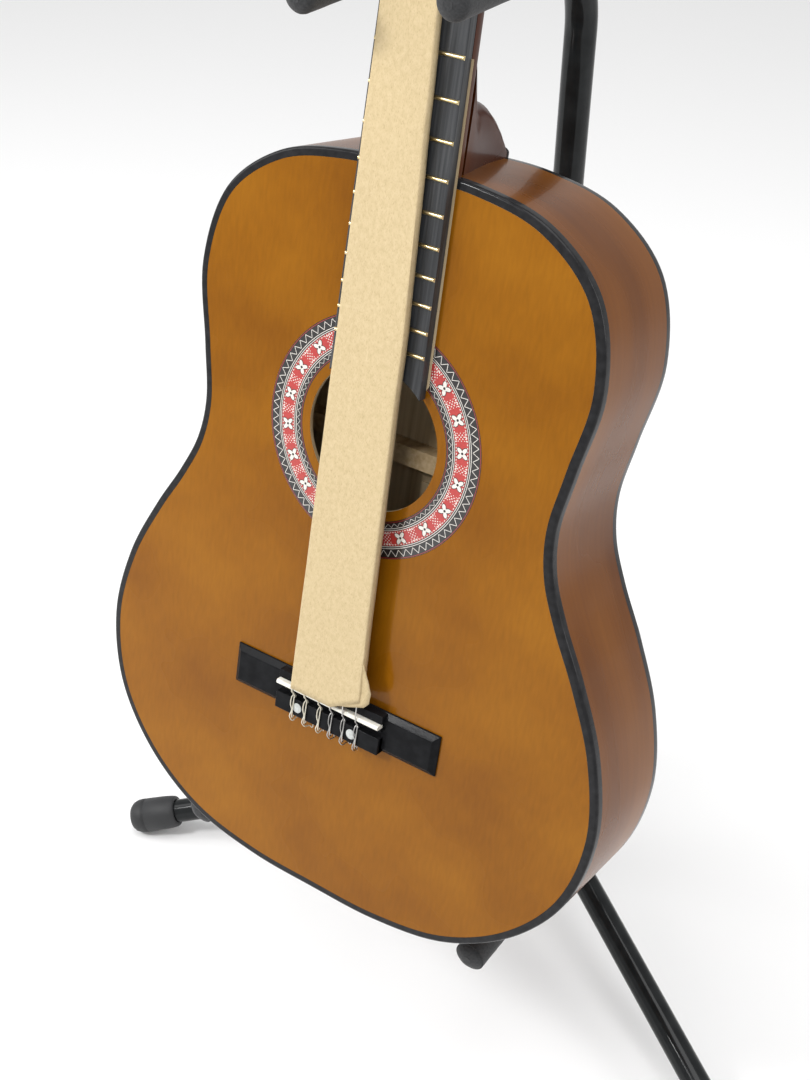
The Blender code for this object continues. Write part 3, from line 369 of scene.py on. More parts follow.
LAYER = 0.02 * MM
plate(rosette, [hole_loop(ROSETTE_OUTER), hole_loop(ROSETTE_INNER)], -INLAY_DEPTH, 0, BLACK)
for inner, outer, ink in ((49.1, 49.3, RED), (52.5, 52.85, WHITE), (53.6, 53.95, WHITE), (54.3, 62.7, RED),
                          (63.1, 63.45, WHITE), (64.2, 64.55, WHITE), (69.9, 70.15, RED)):
    inlay_ring(inner, outer, ink, LAYER)
zigzag(49.9, 52.0, 76, 0.16, WHITE, LAYER)
zigzag(65.3, 69.2, 80, 0.2, WHITE, LAYER)
for edge in (54.9, 62.1):
    for i in range(200):
        turn = 2 * pi * i / 200
        inlay_patch([polar(edge - 0.25, turn), polar(edge + 0.25, turn), polar(edge + 0.25, turn + 0.015),
                     polar(edge - 0.25, turn + 0.015)], WHITE, 2 * LAYER)
FLOWERS = 20
for flower in range(FLOWERS):
    middle_turn = radians(10 + 360 / FLOWERS * flower)
    cx, cy = polar(58.6, middle_turn)
    for quarter in range(4):
        lean = middle_turn + pi / 4 + quarter * pi / 2
        for ink, grow, height in ((BLACK, 0.42, 3 * LAYER), (WHITE, 0.0, 4 * LAYER)):
            px, py = cx + 2.15 * MM * cos(lean), cy + 2.15 * MM * sin(lean)
            petal = []
            for k in range(14):
                a = 2 * pi * k / 14
                long, wide = (1.95 + grow) * MM * cos(a), (1.15 + grow) * MM * sin(a)
                petal.append((px + long * cos(lean) - wide * sin(lean),
                              py + long * sin(lean) + wide * cos(lean)))
            inlay_patch(petal, ink, height + quarter * LAYER * 0.1)
    inlay_patch([(cx + 0.8 * MM * cos(a * pi / 4), cy + 0.8 * MM * sin(a * pi / 4)) for a in range(8)],
                BLACK, 6 * LAYER)
    gap_turn = middle_turn + pi / FLOWERS
    for row in range(-3, 4):
        for column in range(-2, 3):
            if (row + column) % 2 == 0 and abs(row) + abs(column) < 5 or row in (-3, 3):
                spot, size = gap_turn + column * 0.019, 0.5 if abs(column) < 2 else 0.36
                radius = 58.5 + row * 1.02
                half = size * 0.016
                inlay_patch([polar(radius - size, spot), polar(radius, spot + half),
                             polar(radius + size, spot), polar(radius, spot - half)], WHITE, 2 * LAYER)
settle(rosette, "rosette_inlay", "guitar", INKS, ["rosette"], GUITAR)

# ---- rim, linings and bindings ----
# The sides are one bent band of stained wood with pale linings inside; black plastic strips, round
# on their outer edge, are glued into the corners of both plates.


def swept(skin, profile, material_of=lambda step: 0):
    """Sweeps a closed profile (distance in from the edge, height) round the body."""
    lengths = skin.loops.layers.uv.verify()
    rings = [[skin.verts.new((x, y, height)) for x, y in body_loop(inset)] for inset, height in profile]
    total = len(rings[0])
    step_length = 1.45 / total
    for step, (near, far) in enumerate(zip(rings, rings[1:] + rings[:1])):
        heights = profile[step][1], profile[(step + 1) % len(profile)][1]
        for i in range(total):
            j = (i + 1) % total
            face = skin.faces.new((near[i], near[j], far[j], far[i]))
            face.material_index = material_of(step)
            spots = ((i, heights[0]), (i + 1, heights[0]), (i + 1, heights[1]), (i, heights[1]))
            for loop, (along, height) in zip(face.loops, spots):
                loop[lengths].uv = (height, along * step_length)
    return skin


brown = lacquered_wood("brown_lacquer", (0.09, 0.025, 0.002), (0.15, 0.047, 0.003), (0.21, 0.072, 0.005),
                       (420, 10, 1), (14, 3.5, 1), "UV")
back = -BODY_DEPTH
inner = BINDING_WIDTH + 0.3 * MM
lining = BINDING_WIDTH + 6 * MM
front_seam, back_seam = -BINDING_HEIGHT, back + BINDING_HEIGHT
front_lining, back_lining = -PLATE - 0.3 * MM, back + PLATE + 0.3 * MM
rim_profile = [(0, front_seam), (0, back_seam), (inner, back_seam), (inner, back_lining),
               (lining, back_lining), (lining - 1 * MM, back_lining + 10 * MM),
               (2.2 * MM, back_lining + 13 * MM), (2.2 * MM, front_lining - 13 * MM),
               (lining - 1 * MM, front_lining - 10 * MM),
               (lining, front_lining), (inner, front_lining), (inner, front_seam)]
settle(swept(bmesh.new(), rim_profile, lambda step: 0 if step == 0 else 1), "sides_bent", "guitar",
       [brown, raw], ["rim"], GUITAR)


def satin_black(name, colour=(0.012, 0.012, 0.013), roughness=0.24, scale=220, depth=0.00003, coat=0.5,
                shine=0.08):
    """Moulded or painted black with a faint mottle in its gloss."""
    surface = Surface(name, roughness, coat=coat * 0.35, coat_roughness=0.08)
    surface.shader.inputs["Specular IOR Level"].default_value = shine
    mottle = surface.grain((scale, scale, scale), 3)
    dusty = tuple(channel * 1.7 + 0.002 for channel in colour)
    surface.colour(surface.ramp(mottle, (0.35, colour), (0.75, dusty)))
    surface.wear(mottle, roughness * 0.7, roughness * 1.4)
    surface.bump(mottle, depth)
    return surface.material


binding_black = satin_black("binding_black", roughness=0.2)


def binding_profile(edge, inward):
    """Round at the outer corner; inward is -1 for the front strip and 1 for the back one."""
    ease = 1.9 * MM
    corner = [(ease - x, edge + inward * (ease - y)) for x, y in arc(0, 0, ease, pi / 2, 0, 5)]
    return corner + [(0, edge + inward * BINDING_HEIGHT), (BINDING_WIDTH, edge + inward * BINDING_HEIGHT),
                     (BINDING_WIDTH, edge)]


settle(swept(bmesh.new(), binding_profile(0, -1)), "binding_front", "guitar", [binding_black],
       ["front_binding"], GUITAR)
settle(swept(bmesh.new(), binding_profile(back, 1)), "binding_back", "guitar", [binding_black],
       ["back_binding"], GUITAR)

# ---- back plate, blocks and bars ----
# The back is a plain stained sheet with bare wood inside. The glued blocks and bars are bare wood;
# a thin strip covers the glue line down the middle of the back's inner face.
brown_flat = lacquered_wood("brown_lacquer_back", (0.085, 0.024, 0.0045), (0.14, 0.044, 0.007),
                            (0.2, 0.07, 0.011), (420, 8, 420), (10, 5, 10))
settle(plate(bmesh.new(), [board_loop], back, back + PLATE, 1, 0, 0), "back_lacquered", "guitar",
       [brown_flat, raw], ["back_plate"], GUITAR)
STRIP_HALF = 7 * MM
strip = bmesh.new()
for low, high in ((150 * MM, 262 * MM), (296 * MM, 410 * MM)):
    ends = [(-STRIP_HALF, low), (STRIP_HALF, low), (STRIP_HALF, high), (-STRIP_HALF, high)]
    plate(strip, [ends], back + PLATE, back + PLATE + 2 * MM)
settle(strip, "back_strip", "guitar", [raw], (), GUITAR, 0.6 * MM)
raw_stick = bare_wood("raw_stick", (0.46, 0.31, 0.15), (0.68, 0.52, 0.31))
for node in ("neck_block", "tail_block", "upper_face_bar", "lower_face_bar", "upper_back_bar",
             "lower_back_bar"):
    frame["nodes"][node].data.materials.clear()
    frame["nodes"][node].data.materials.append(raw_stick)

# ---- neck and heel ----
# One carved piece of red-brown stained wood: a D-shaped neck that runs out into a rounded heel, with a
# thin dark cap under the heel.
BODY_JOINT = 462.3 * MM
SCALE = 640 * MM
NUT_Y = BODY_JOINT + SCALE / 2
SADDLE_Y = BODY_JOINT - SCALE / 2
BOARD_HALF_NUT, BOARD_HALF_JOINT = 23.5 * MM, 28.3 * MM
BOARD_THICK = 6.3 * MM
HEAD_TILT = radians(13)
HEAD_THICK = 18 * MM
NECK_END = NUT_Y + 5.3 * MM


def board_half(y):
    return BOARD_HALF_JOINT + (BOARD_HALF_NUT - BOARD_HALF_JOINT) * (y - BODY_JOINT) / (NUT_Y - BODY_JOINT)


def loft(skin, sections, caps=True):
    rings = [[skin.verts.new(point) for point in section] for section in sections]
    for near, far in zip(rings, rings[1:]):
        for i in range(len(near)):
            j = (i + 1) % len(near)
            skin.faces.new((near[i], near[j], far[j], far[i]))
    if caps:
        skin.faces.new(rings[0])
        skin.faces.new(rings[-1])
    return skin


def neck_section(y, half, depth, shear=0.0):
    points = [(half, y, 0), (half, y - 2 * MM * shear, -2 * MM)]
    for step in range(1, 24):
        turn = pi * step / 24
        z = -2 * MM - (depth - 2 * MM) * sin(turn) ** 0.8
        points.append((half * cos(turn), y + z * shear, z))
    return points + [(-half, y - 2 * MM * shear, -2 * MM), (-half, y, 0)]


neck_red = lacquered_wood("neck_lacquer", (0.03, 0.006, 0.002), (0.055, 0.012, 0.003), (0.09, 0.024, 0.004),
                          (300, 9, 300), (12, 6, 12))
heel_start = BODY_JOINT + 0.4 * MM
neck = bmesh.new()
stations = [(heel_start, 18), (heel_start + 80 * MM, 17.5), (NUT_Y - 60 * MM, 16.5), (NUT_Y - 25 * MM, 16.5)]
sections = [neck_section(y, board_half(y), depth * MM) for y, depth in stations]
sections.append(neck_section(NECK_END, board_half(NUT_Y), HEAD_THICK - 1 * MM,
                             sin(HEAD_TILT) / cos(HEAD_TILT)))
loft(neck, sections)
# heights below the face, with the heel's half-width and reach at each
HEEL = ((-11, 26.2, 84), (-14, 25.5, 74), (-17, 25, 62), (-20, 24.3, 52), (-24, 23.4, 41),
        (-29, 22, 35), (-37, 20, 33.4), (-46, 18, 32.6), (-54, 16.6, 31), (-61, 15.6, 26.5),
        (-67, 15, 20.5), (-72, 14.5, 13.5), (-76, 14, 7.5))


def heel_section(height, half, reach):
    nose = [(half * MM * cos(pi * i / 20), heel_start + reach * MM * (0.4 + 0.6 * sin(pi * i / 20) ** 0.8),
             height * MM) for i in range(21)]
    return [(half * MM, heel_start, height * MM)] + nose + [(-half * MM, heel_start, height * MM)]


loft(neck, [heel_section(*row) for row in HEEL])
neck_red.node_tree.nodes["Principled BSDF"].inputs["Coat Weight"].default_value = 0.08
settle(neck, "neck_carved", "guitar", [neck_red], ["neck"], GUITAR, 0, 50)
heel_cap = loft(bmesh.new(), [heel_section(-76.1, 14.2, 7.6), heel_section(-78.2, 14.2, 7.6)])
settle(heel_cap, "heel_cap", "guitar", [binding_black], (), GUITAR, 0.4 * MM)

# ---- fingerboard, frets and nut ----
# The board is dyed charcoal with an open grain, its end cut round the soundhole. Eighteen brass
# frets are pressed across it, and a white plastic nut with six slots closes it.
BOARD_END_RADIUS = 44.4 * MM
ebonized = Surface("dyed_board", 0.42, coat=0.1, coat_roughness=0.3)
ebonized.shader.inputs["Specular IOR Level"].default_value = 0.3
pores = ebonized.grain((700, 18, 700), 6)
ebonized.colour(ebonized.ramp(pores, (0.3, (0.022, 0.023, 0.025)), (0.66, (0.062, 0.064, 0.068)),
                              (0.48, (0.036, 0.038, 0.041))))
ebonized.wear(pores, 0.34, 0.55)
ebonized.bump(pores, 0.00012)
end_arc = []
for i in range(33):
    x = board_half(HOLE_Y + 33 * MM) * (1 - i / 16)
    end_arc.append((x, HOLE_Y + (BOARD_END_RADIUS ** 2 - x ** 2) ** 0.5))
board_top = NUT_Y - 0.3 * MM
board_edge = [(-board_half(board_top), board_top)] + end_arc[::-1] + [(board_half(board_top), board_top)]
settle(plate(bmesh.new(), [board_edge], 0.1 * MM, BOARD_THICK), "fingerboard_dyed", "guitar",
       [ebonized.material], ["fingerboard"], GUITAR, 0.5 * MM)

brass = Surface("fret_brass", 0.26, metallic=1.0)
scuff = brass.grain((60, 900, 900), 3)
brass.colour(brass.ramp(scuff, (0.3, (0.56, 0.43, 0.2)), (0.7, (0.83, 0.7, 0.42))))
brass.wear(scuff, 0.2, 0.42)
frets = bmesh.new()
for number in range(1, 19):
    y = NUT_Y - SCALE * (1 - 2 ** (-number / 12))
    half = board_half(y) - 0.3 * MM
    arch = arc(0, BOARD_THICK - 0.1 * MM, 1.15 * MM, 0, pi, 8)
    loft(frets, [[(side * (half - (z - BOARD_THICK) * 0.5), y + dy, z) for dy, z in arch]
                 for side in (-1, 1)])
settle(frets, "frets", "guitar", [brass.material], (), GUITAR)

underlay = bmesh.new()
for side in (-1, 1):
    reach = [(side * (board_half(y) - 1 * MM), y) for y in (HOLE_Y + 36 * MM, BODY_JOINT + 60 * MM)]
    reach += [(side * (board_half(y) + 1.3 * MM), y) for y in (BODY_JOINT + 60 * MM, HOLE_Y + 40 * MM)]
    plate(underlay, [reach], 0.03 * MM, 0.09 * MM)
settle(underlay, "fingerboard_glue_line", "guitar", [raw], (), GUITAR)

ivory = Surface("ivory_plastic", 0.32, coat=0.3)
ivory.shader.inputs["Subsurface Weight"].default_value = 0.12
ivory.shader.inputs["Subsurface Radius"].default_value = (0.002, 0.0015, 0.001)
marks = ivory.grain((260, 260, 260), 3)
ivory.colour(ivory.ramp(marks, (0.3, (0.72, 0.69, 0.6)), (0.7, (0.86, 0.84, 0.77))))
ivory.wear(marks, 0.24, 0.4)
STRINGS = [(index / 5 - 0.5) for index in range(6)]
STRING_RADII = (0.56, 0.46, 0.42, 0.5, 0.41, 0.36)
NUT_SPREAD, SADDLE_SPREAD = 35 * MM, 45 * MM
nut = bmesh.new()
nut_top, nut_thick = 9.4 * MM, 4.8 * MM
crest = [(-BOARD_HALF_NUT, nut_top - 0.5 * MM), (-BOARD_HALF_NUT, 0.3 * MM), (BOARD_HALF_NUT, 0.3 * MM),
         (BOARD_HALF_NUT, nut_top - 0.5 * MM)]
for share in STRINGS[::-1]:
    x = NUT_SPREAD * share
    crest += [(x + 0.8 * MM, nut_top), (x + 0.6 * MM, nut_top - 0.9 * MM), (x - 0.6 * MM, nut_top - 0.9 * MM),
              (x - 0.8 * MM, nut_top)]
plate(nut, [crest], -NUT_Y - nut_thick, -NUT_Y, turn=Matrix.Rotation(pi / 2, 4, "X"))
settle(nut, "nut_slotted", "guitar", [ivory.material], ["nut"], GUITAR, 0.25 * MM)

# ---- headstock ----
# A slotted head of the neck's wood, tipped back, with a dark veneer on its face and a plain stepped
# crown. The three rollers on each side cross its two slots.
HEAD = GUITAR @ Matrix.Translation((0, NECK_END + 0.3 * MM, 0)) @ Matrix.Rotation(-HEAD_TILT, 4, "X")
HEAD_HALF, HEAD_LENGTH = 34 * MM, 181 * MM
SLOT_X, SLOT_HALF = 16 * MM, 7.5 * MM
TUNER_START, TUNER_PITCH = 62 * MM, 36 * MM
shoulder = board_half(NUT_Y) - 0.1 * MM
flank = [(shoulder, 0), (shoulder + 0.2 * MM, 6 * MM), (shoulder + 1 * MM, 14 * MM),
         (HEAD_HALF - 4 * MM, 26 * MM), (HEAD_HALF - 1 * MM, 36 * MM), (HEAD_HALF, 50 * MM),
         (HEAD_HALF, 150 * MM), (HEAD_HALF - 0.8 * MM, 157 * MM), (HEAD_HALF - 4 * MM, 165 * MM),
         (26 * MM, 169 * MM), (20 * MM, 173 * MM), (14 * MM, 178 * MM), (9 * MM, HEAD_LENGTH),
         (4 * MM, HEAD_LENGTH - 1 * MM), (0, HEAD_LENGTH - 3 * MM)]
head_edge = flank + [(-x, y) for x, y in flank[-2::-1]]


def slot_edge(side):
    low, high = TUNER_START - 16 * MM, TUNER_START + 2 * TUNER_PITCH + 14 * MM
    return (arc(side * SLOT_X, low, SLOT_HALF, pi, 2 * pi, 16)
            + arc(side * SLOT_X, high, SLOT_HALF, 0, pi, 16))


head_loops = [head_edge, slot_edge(-1), slot_edge(1)]
head = plate(bmesh.new(), head_loops, -HEAD_THICK, -1.2 * MM)
veneer = lacquered_wood("head_veneer", (0.03, 0.009, 0.004), (0.05, 0.014, 0.005), (0.075, 0.022, 0.007))
settle(head, "headstock_carved", "guitar", [neck_red], ["headstock"], HEAD, 0.8 * MM)
settle(plate(bmesh.new(), head_loops, -1.2 * MM, 0), "headstock_veneer", "guitar",
       [veneer], (), HEAD, 0.3 * MM)

# ---- tuners ----
# Each side has a nickel plate with three worm guides, screwed to the head's edge. A worm on each
# button's stem turns a fourteen-tooth wheel on a roller with a white sleeve that winds the string.


def turned(skin, profile, start=(0, 0, 0), direction=(0, 0, 1), sides=48, face=0):
    """Adds a round shape: profile pairs (distance along the axis, radius)."""
    turn = Vector(direction).to_track_quat("Z", "Y").to_matrix().to_4x4()
    place = Matrix.Translation(start) @ turn
    rings = []
    for along, radius in profile:
        if radius == 0:
            rings.append([skin.verts.new(place @ Vector((0, 0, along)))])
        else:
            rings.append([skin.verts.new(place @ Vector((radius * cos(2 * pi * k / sides),
                                                         radius * sin(2 * pi * k / sides), along)))
                          for k in range(sides)])
    closed = profile[0][1] != 0
    pairs = list(zip(rings, rings[1:])) + ([(rings[-1], rings[0])] if closed else [])
    for near, far in pairs:
        for k in range(sides):
            j = (k + 1) % sides
            corners = [near[k % len(near)], near[j % len(near)], far[j % len(far)], far[k % len(far)]]
            unique = list(dict.fromkeys(corners))
            if len(unique) > 2:
                skin.faces.new(unique).material_index = face
    return skin


def rod(skin, points, radius, sides=24, face=0, caps=True):
    """Adds a round rod along the points, its sections kept from twisting."""
    points = [Vector(point) for point in points]
    radii = radius if isinstance(radius, (list, tuple)) else [radius] * len(points)
    ways = [(after - before).normalized()
            for before, after in zip(points[:1] + points[:-1], points[1:] + points[-1:])]
    side = ways[0].orthogonal().normalized()
    rings = []
    for point, way, size in zip(points, ways, radii):
        side = (side - way * side.dot(way)).normalized()
        other = way.cross(side)
        rings.append([skin.verts.new(point + side * x + other * y)
                      for x, y in arc(0, 0, size, 0, 2 * pi, sides)[:-1]])
    for near, far in zip(rings, rings[1:]):
        for k in range(sides):
            j = (k + 1) % sides
            skin.faces.new((near[k], near[j], far[j], far[k])).material_index = face
    if caps:
        skin.faces.new(rings[0]).material_index = face
        skin.faces.new(rings[-1]).material_index = face
    return skin


def box(skin, low, high, face=0, place=Matrix()):
    low, high = Vector(low), Vector(high)
    made = bmesh.ops.create_cube(skin, size=1)["verts"]
    bmesh.ops.transform(skin, verts=made, matrix=place @ Matrix.Translation((low + high) / 2)
                        @ Matrix.Diagonal((*(high - low), 1)))
    for polygon in {polygon for vertex in made for polygon in vertex.link_faces}:
        polygon.material_index = face
    return skin


nickel = Surface("nickel_plate", 0.3, metallic=1.0)
brushed = nickel.grain((40, 1600, 1600), 3)
nickel.colour(nickel.ramp(brushed, (0.3, (0.5, 0.47, 0.41)), (0.7, (0.72, 0.69, 0.62))))
nickel.wear(brushed, 0.22, 0.42)
pearl = Surface("pearl_button", 0.25, coat=0.6)
swirl = pearl.grain((120, 190, 120), 4)
pearl.colour(pearl.ramp(swirl, (0.3, (0.6, 0.6, 0.56)), (0.7, (0.87, 0.86, 0.8)), (0.5, (0.78, 0.77, 0.71))))
wound = Surface("wound_string", 0.35, metallic=0.9)
turns = wound.grain((40, 40, 4000), 2)
wound.colour(wound.ramp(turns, (0.3, (0.3, 0.29, 0.28)), (0.7, (0.62, 0.61, 0.58))))
nylon = Surface("plain_nylon", 0.28)
nylon.shader.inputs["Transmission Weight"].default_value = 0.25
milky = nylon.grain((300, 300, 300), 2)
nylon.colour(nylon.ramp(milky, (0.3, (0.74, 0.68, 0.54)), (0.7, (0.88, 0.84, 0.72))))
PLATE_THICK, GEAR_RADIUS, WORM_RADIUS, GEAR_THICK = 1.2 * MM, 6 * MM, 2 * MM, 3 * MM
WORM_OFFSET = GEAR_RADIUS + WORM_RADIUS + 0.3 * MM
GEAR_X = HEAD_HALF + 2.1 * MM
WORM_X = GEAR_X + GEAR_THICK / 2
ROLLER_Z = -HEAD_THICK / 2


def screw_head(skin, x, y, z, hand, radius=1.7 * MM):
    turned(skin, [(0, radius), (0.4 * MM, radius), (0.8 * MM, radius * 0.7), (0.9 * MM, 0)][::-1],
           (x, y, z), (hand, 0, 0), 20)
    # The bar across the head stands for the screw's slot; where it takes the slot material it is painted
    # shade in the recess
    box(skin, (x + hand * 0.65 * MM - 0.3 * MM, y - 0.2 * MM, z - radius * 0.8),
        (x + hand * 0.65 * MM + 0.3 * MM, y + 0.2 * MM, z + radius * 0.8), 1)


# Near-black for the screw slots on the tuner plates: painted shade standing for the shadow in each slot
slot_painted_shade = satin_black("slot_painted_shade", (0.02, 0.018, 0.016), 0.6)
for side, hand in (("bass", -1), ("treble", 1)):
    edge = bmesh.new()
    low, high = TUNER_START - 11 * MM, TUNER_START + 2 * TUNER_PITCH + 17 * MM
    sheet = [(-HEAD_THICK + 2 * MM, low + 3 * MM), (-HEAD_THICK / 2, low), (-2 * MM, low + 3 * MM),
             (-2 * MM, high - 3 * MM), (-HEAD_THICK / 2, high), (-HEAD_THICK + 2 * MM, high - 3 * MM)]
    face_x = HEAD_HALF + 0.3 * MM
    plate(edge, [[(-z, y) for z, y in sheet]], face_x, face_x + PLATE_THICK,
          turn=Matrix.Rotation(hand * pi / 2, 4, "Y") if hand > 0 else
          Matrix.Diagonal((-1, 1, 1, 1)) @ Matrix.Rotation(pi / 2, 4, "Y"))
    for number in range(3):
        y = TUNER_START + number * TUNER_PITCH
        xs = sorted((hand * (face_x + 0.5 * MM), hand * (WORM_X + 3.4 * MM)))
        for start in (-3, 5.6):
            box(edge, (xs[0], y + WORM_OFFSET - 3 * MM, -HEAD_THICK + (2.4 if start < 0 else 11.6) * MM),
                (xs[1], y + WORM_OFFSET + 3 * MM, -HEAD_THICK + (5 if start < 0 else 14.0) * MM))
        for step in (-7.5, 15.5):
            screw_head(edge, hand * (face_x + PLATE_THICK), y + step * MM, -5 * MM, hand)
    settle(edge, f"tuner_plate_{side}_nickel", "guitar", [nickel.material, slot_painted_shade],
           [f"tuner_plate_{side}"], HEAD, 0.25 * MM)
    for number in range(3):
        y = TUNER_START + number * TUNER_PITCH
        post = bmesh.new()
        inner_end = SLOT_X - SLOT_HALF - 4.6 * MM
        post_at = lambda x: (hand * x, y, ROLLER_Z)
        turned(post, [(0, 0), (0, 2.2 * MM), (HEAD_HALF - 1 * MM - inner_end + 3 * MM, 2.2 * MM),
                      (HEAD_HALF - 1 * MM - inner_end + 3 * MM, 0)], post_at(inner_end), (hand, 0, 0), 24)
        turned(post, [(0, 0), (0, 4.4 * MM), (HEAD_HALF - 1.4 * MM - inner_end, 4.4 * MM),
                      (HEAD_HALF - 1.4 * MM - inner_end, 0)], post_at(inner_end), (hand, 0, 0), 36, 1)
        teeth = []
        for k in range(56):
            size = GEAR_RADIUS if k % 4 in (0, 1) else GEAR_RADIUS - 0.9 * MM
            teeth.append((size * cos(2 * pi * k / 56), size * sin(2 * pi * k / 56)))
        wheel = (Matrix.Translation(post_at(0)) @ Matrix.Diagonal((hand, 1, 1, 1))
                 @ Matrix.Rotation(pi / 2, 4, "Y"))
        plate(post, [teeth], GEAR_X, GEAR_X + GEAR_THICK * 0.85, turn=wheel)
        screw_head(post, hand * (GEAR_X + GEAR_THICK * 0.8), y, ROLLER_Z, hand, 2.4 * MM)
        index = {"bass": (0, 1, 2), "treble": (5, 4, 3)}[side][number]
        gauge = STRING_RADII[index] * MM
        start_x = hand * SLOT_X + (1 - (index % 3)) * 0.5 * MM * hand
        coil = []
        for k in range(4 * 20 + 1):
            turn = 2 * pi * k / 20
            coil.append((start_x + hand * (k / 20) * gauge * 2.1, y + (4.5 * MM + gauge) * sin(turn),
                         ROLLER_Z + (4.5 * MM + gauge) * cos(turn)))
        rod(post, coil, gauge, 8, 2)
        settle(post, f"roller_{side}_{number + 1}_wound", f"post_{side}_{number + 1}",
               [nickel.material, ivory.material, (nylon if index < 3 else wound).material, slot_painted_shade],
               [f"roller_{side}_{number + 1}"], HEAD, 0.15 * MM)

        knob = bmesh.new()
        top = HEAD_THICK + 6 * MM
        stem_at = (hand * WORM_X, y + WORM_OFFSET, 0)
        turned(knob, [(3 * MM, 0), (3 * MM, 1.3 * MM), (top, 1.3 * MM), (top, 0)], stem_at, (0, 0, -1), 24)
        spiral = arc(stem_at[0], stem_at[1], 1.45 * MM, 0, 10 * pi, 70)
        thread = [(x, y, -(5.0 + k * 6.6 / 70) * MM) for k, (x, y) in enumerate(spiral)]
        rod(knob, thread, 0.5 * MM, 8)
        turned(knob, [(top - 1.5 * MM, 0), (top - 1.5 * MM, 2.6 * MM), (top, 2.7 * MM), (top, 0)], stem_at,
               (0, 0, -1), 24)
        grip = [(1, 0), (0.995, 2.2), (0.97, 3.6), (0.9, 5.0), (0.76, 5.9), (0.55, 6.2), (0.35, 5.9),
                (0.18, 5.0), (0.07, 3.8), (0, 2.7), (0, 0)]
        made = len(knob.verts)
        turned(knob, [(top + 17 * MM * k, r * MM) for k, r in grip], stem_at, (0, 0, -1), 32, 1)
        knob.verts.ensure_lookup_table()
        for vertex in knob.verts[made:]:
            vertex.co.x = stem_at[0] + (vertex.co.x - stem_at[0]) * 0.72
        settle(knob, f"tuner_button_{side}_{number + 1}", f"knob_{side}_{number + 1}",
               [nickel.material, pearl.material], [f"tuner_knob_{side}_{number + 1}"], HEAD)

# ---- bridge and saddle ----
# A black moulded bridge with bevelled wings. Behind the white saddle its tie block has a groove for
# each string and two white bolt covers.
BRIDGE_HALF, BRIDGE_BACK, BRIDGE_FRONT = 75 * MM, 122.6 * MM, 150 * MM
TIE_HALF, TIE_FRONT, TIE_TOP = 38.2 * MM, 134.6 * MM, 8.6 * MM
bridge_black = satin_black("bridge_black", (0.006, 0.0062, 0.007), 0.34, 160, 0.00004, 0.1, 0.05)
bridge = bmesh.new()


def bridge_ring(inset, height):
    x, low, high = BRIDGE_HALF - inset, BRIDGE_BACK + inset, BRIDGE_FRONT - inset
    return [(-x, low, height), (x, low, height), (x, high, height), (-x, high, height)]


loft(bridge, [bridge_ring(0, 0.05 * MM), bridge_ring(0, 1.2 * MM), bridge_ring(3.2 * MM, 3.7 * MM),
              bridge_ring(3.8 * MM, 4.2 * MM)])
string_x = [x * MM for x in (-25.1, -15.7, -5.2, 3.5, 12.5, 22.1)]
walls = [-TIE_HALF] + string_x + [TIE_HALF]
for left, right in zip(walls, walls[1:]):
    start = left + (0 if left == -TIE_HALF else 0.75 * MM)
    end = right - (0 if right == TIE_HALF else 0.75 * MM)
    box(bridge, (start, BRIDGE_BACK + 0.6 * MM, 1 * MM), (end, TIE_FRONT, TIE_TOP))
box(bridge, (-TIE_HALF, BRIDGE_BACK + 0.8 * MM, 1 * MM), (TIE_HALF, TIE_FRONT - 0.2 * MM, TIE_TOP - 1.5 * MM))
box(bridge, (-TIE_HALF, TIE_FRONT + 4 * MM, 1 * MM), (TIE_HALF, SADDLE_Y - 1.6 * MM, 7.4 * MM))
box(bridge, (-TIE_HALF, SADDLE_Y + 1.6 * MM, 1 * MM), (TIE_HALF, BRIDGE_FRONT - 0.6 * MM, 7.4 * MM))
settle(bridge, "bridge_moulded", "guitar", [bridge_black], ["bridge"], GUITAR, 0.45 * MM)
saddle_arch = [(0.0, 5.0), (0.0, 10.0), (0.5, 10.6), (1.5, 10.8), (2.5, 10.6), (3.0, 10.0), (3.0, 5.0)]
saddle = loft(bmesh.new(), [[(x, SADDLE_Y + (y - 1.5) * MM, z * MM) for y, z in saddle_arch]
                            for x in (-37.5 * MM, 37.5 * MM)])
settle(saddle, "saddle_white", "guitar", [ivory.material], ["saddle"], GUITAR, 0.2 * MM)
dots = bmesh.new()
for x in (-21.5 * MM, 18.6 * MM):
    turned(dots, [(TIE_TOP - 0.6 * MM, 0), (TIE_TOP - 0.6 * MM, 3.2 * MM), (TIE_TOP + 0.25 * MM, 3.2 * MM),
                  (TIE_TOP + 0.5 * MM, 2.8 * MM), (TIE_TOP + 0.6 * MM, 0)],
           (x, BRIDGE_BACK + 6.6 * MM, 0), (0, 0, 1), 32)
grey_cap = gloss_ink("bolt_cover", (0.5, 0.52, 0.5))
settle(dots, "bridge_bolt_covers", "guitar", [grey_cap], (), GUITAR)

# ---- strings ----
# Three plain nylon and three wound strings run from their rollers over the nut, through the sleeve and
# over the saddle. Each is tied round the block in a loose loop with its tail left long.
SLEEVE_EDGES = ((144.5, -25.0, 24.6), (220, -24.4, 22.6), (384, -23.3, 19.3), (548, -21.6, 12.3),
                (640, -21.0, 9.5))
SLEEVE_HIGH, STRING_LIFT, SADDLE_TOP = 640 * MM, 11.8 * MM, 10.8 * MM


def sleeve_edges(y):
    heights = [row[0] * MM for row in SLEEVE_EDGES]
    return [float(np.interp(y, heights, [row[k] * MM for row in SLEEVE_EDGES])) for k in (1, 2)]


def smooth_path(points, steps=6):
    """An open smooth curve through the points."""
    rows = [Vector(point) for point in points]
    rows = [rows[0] * 2 - rows[1]] + rows + [rows[-1] * 2 - rows[-2]]
    path = []
    for i in range(1, len(rows) - 2):
        a, b, c, d = rows[i - 1:i + 3]
        for k in range(steps):
            t = k / steps
            path.append(0.5 * (2 * b + (c - a) * t + (2 * a - 5 * b + 4 * c - d) * t * t
                               + (3 * b - a - 3 * c + d) * t ** 3))
    return path + [rows[-2]]


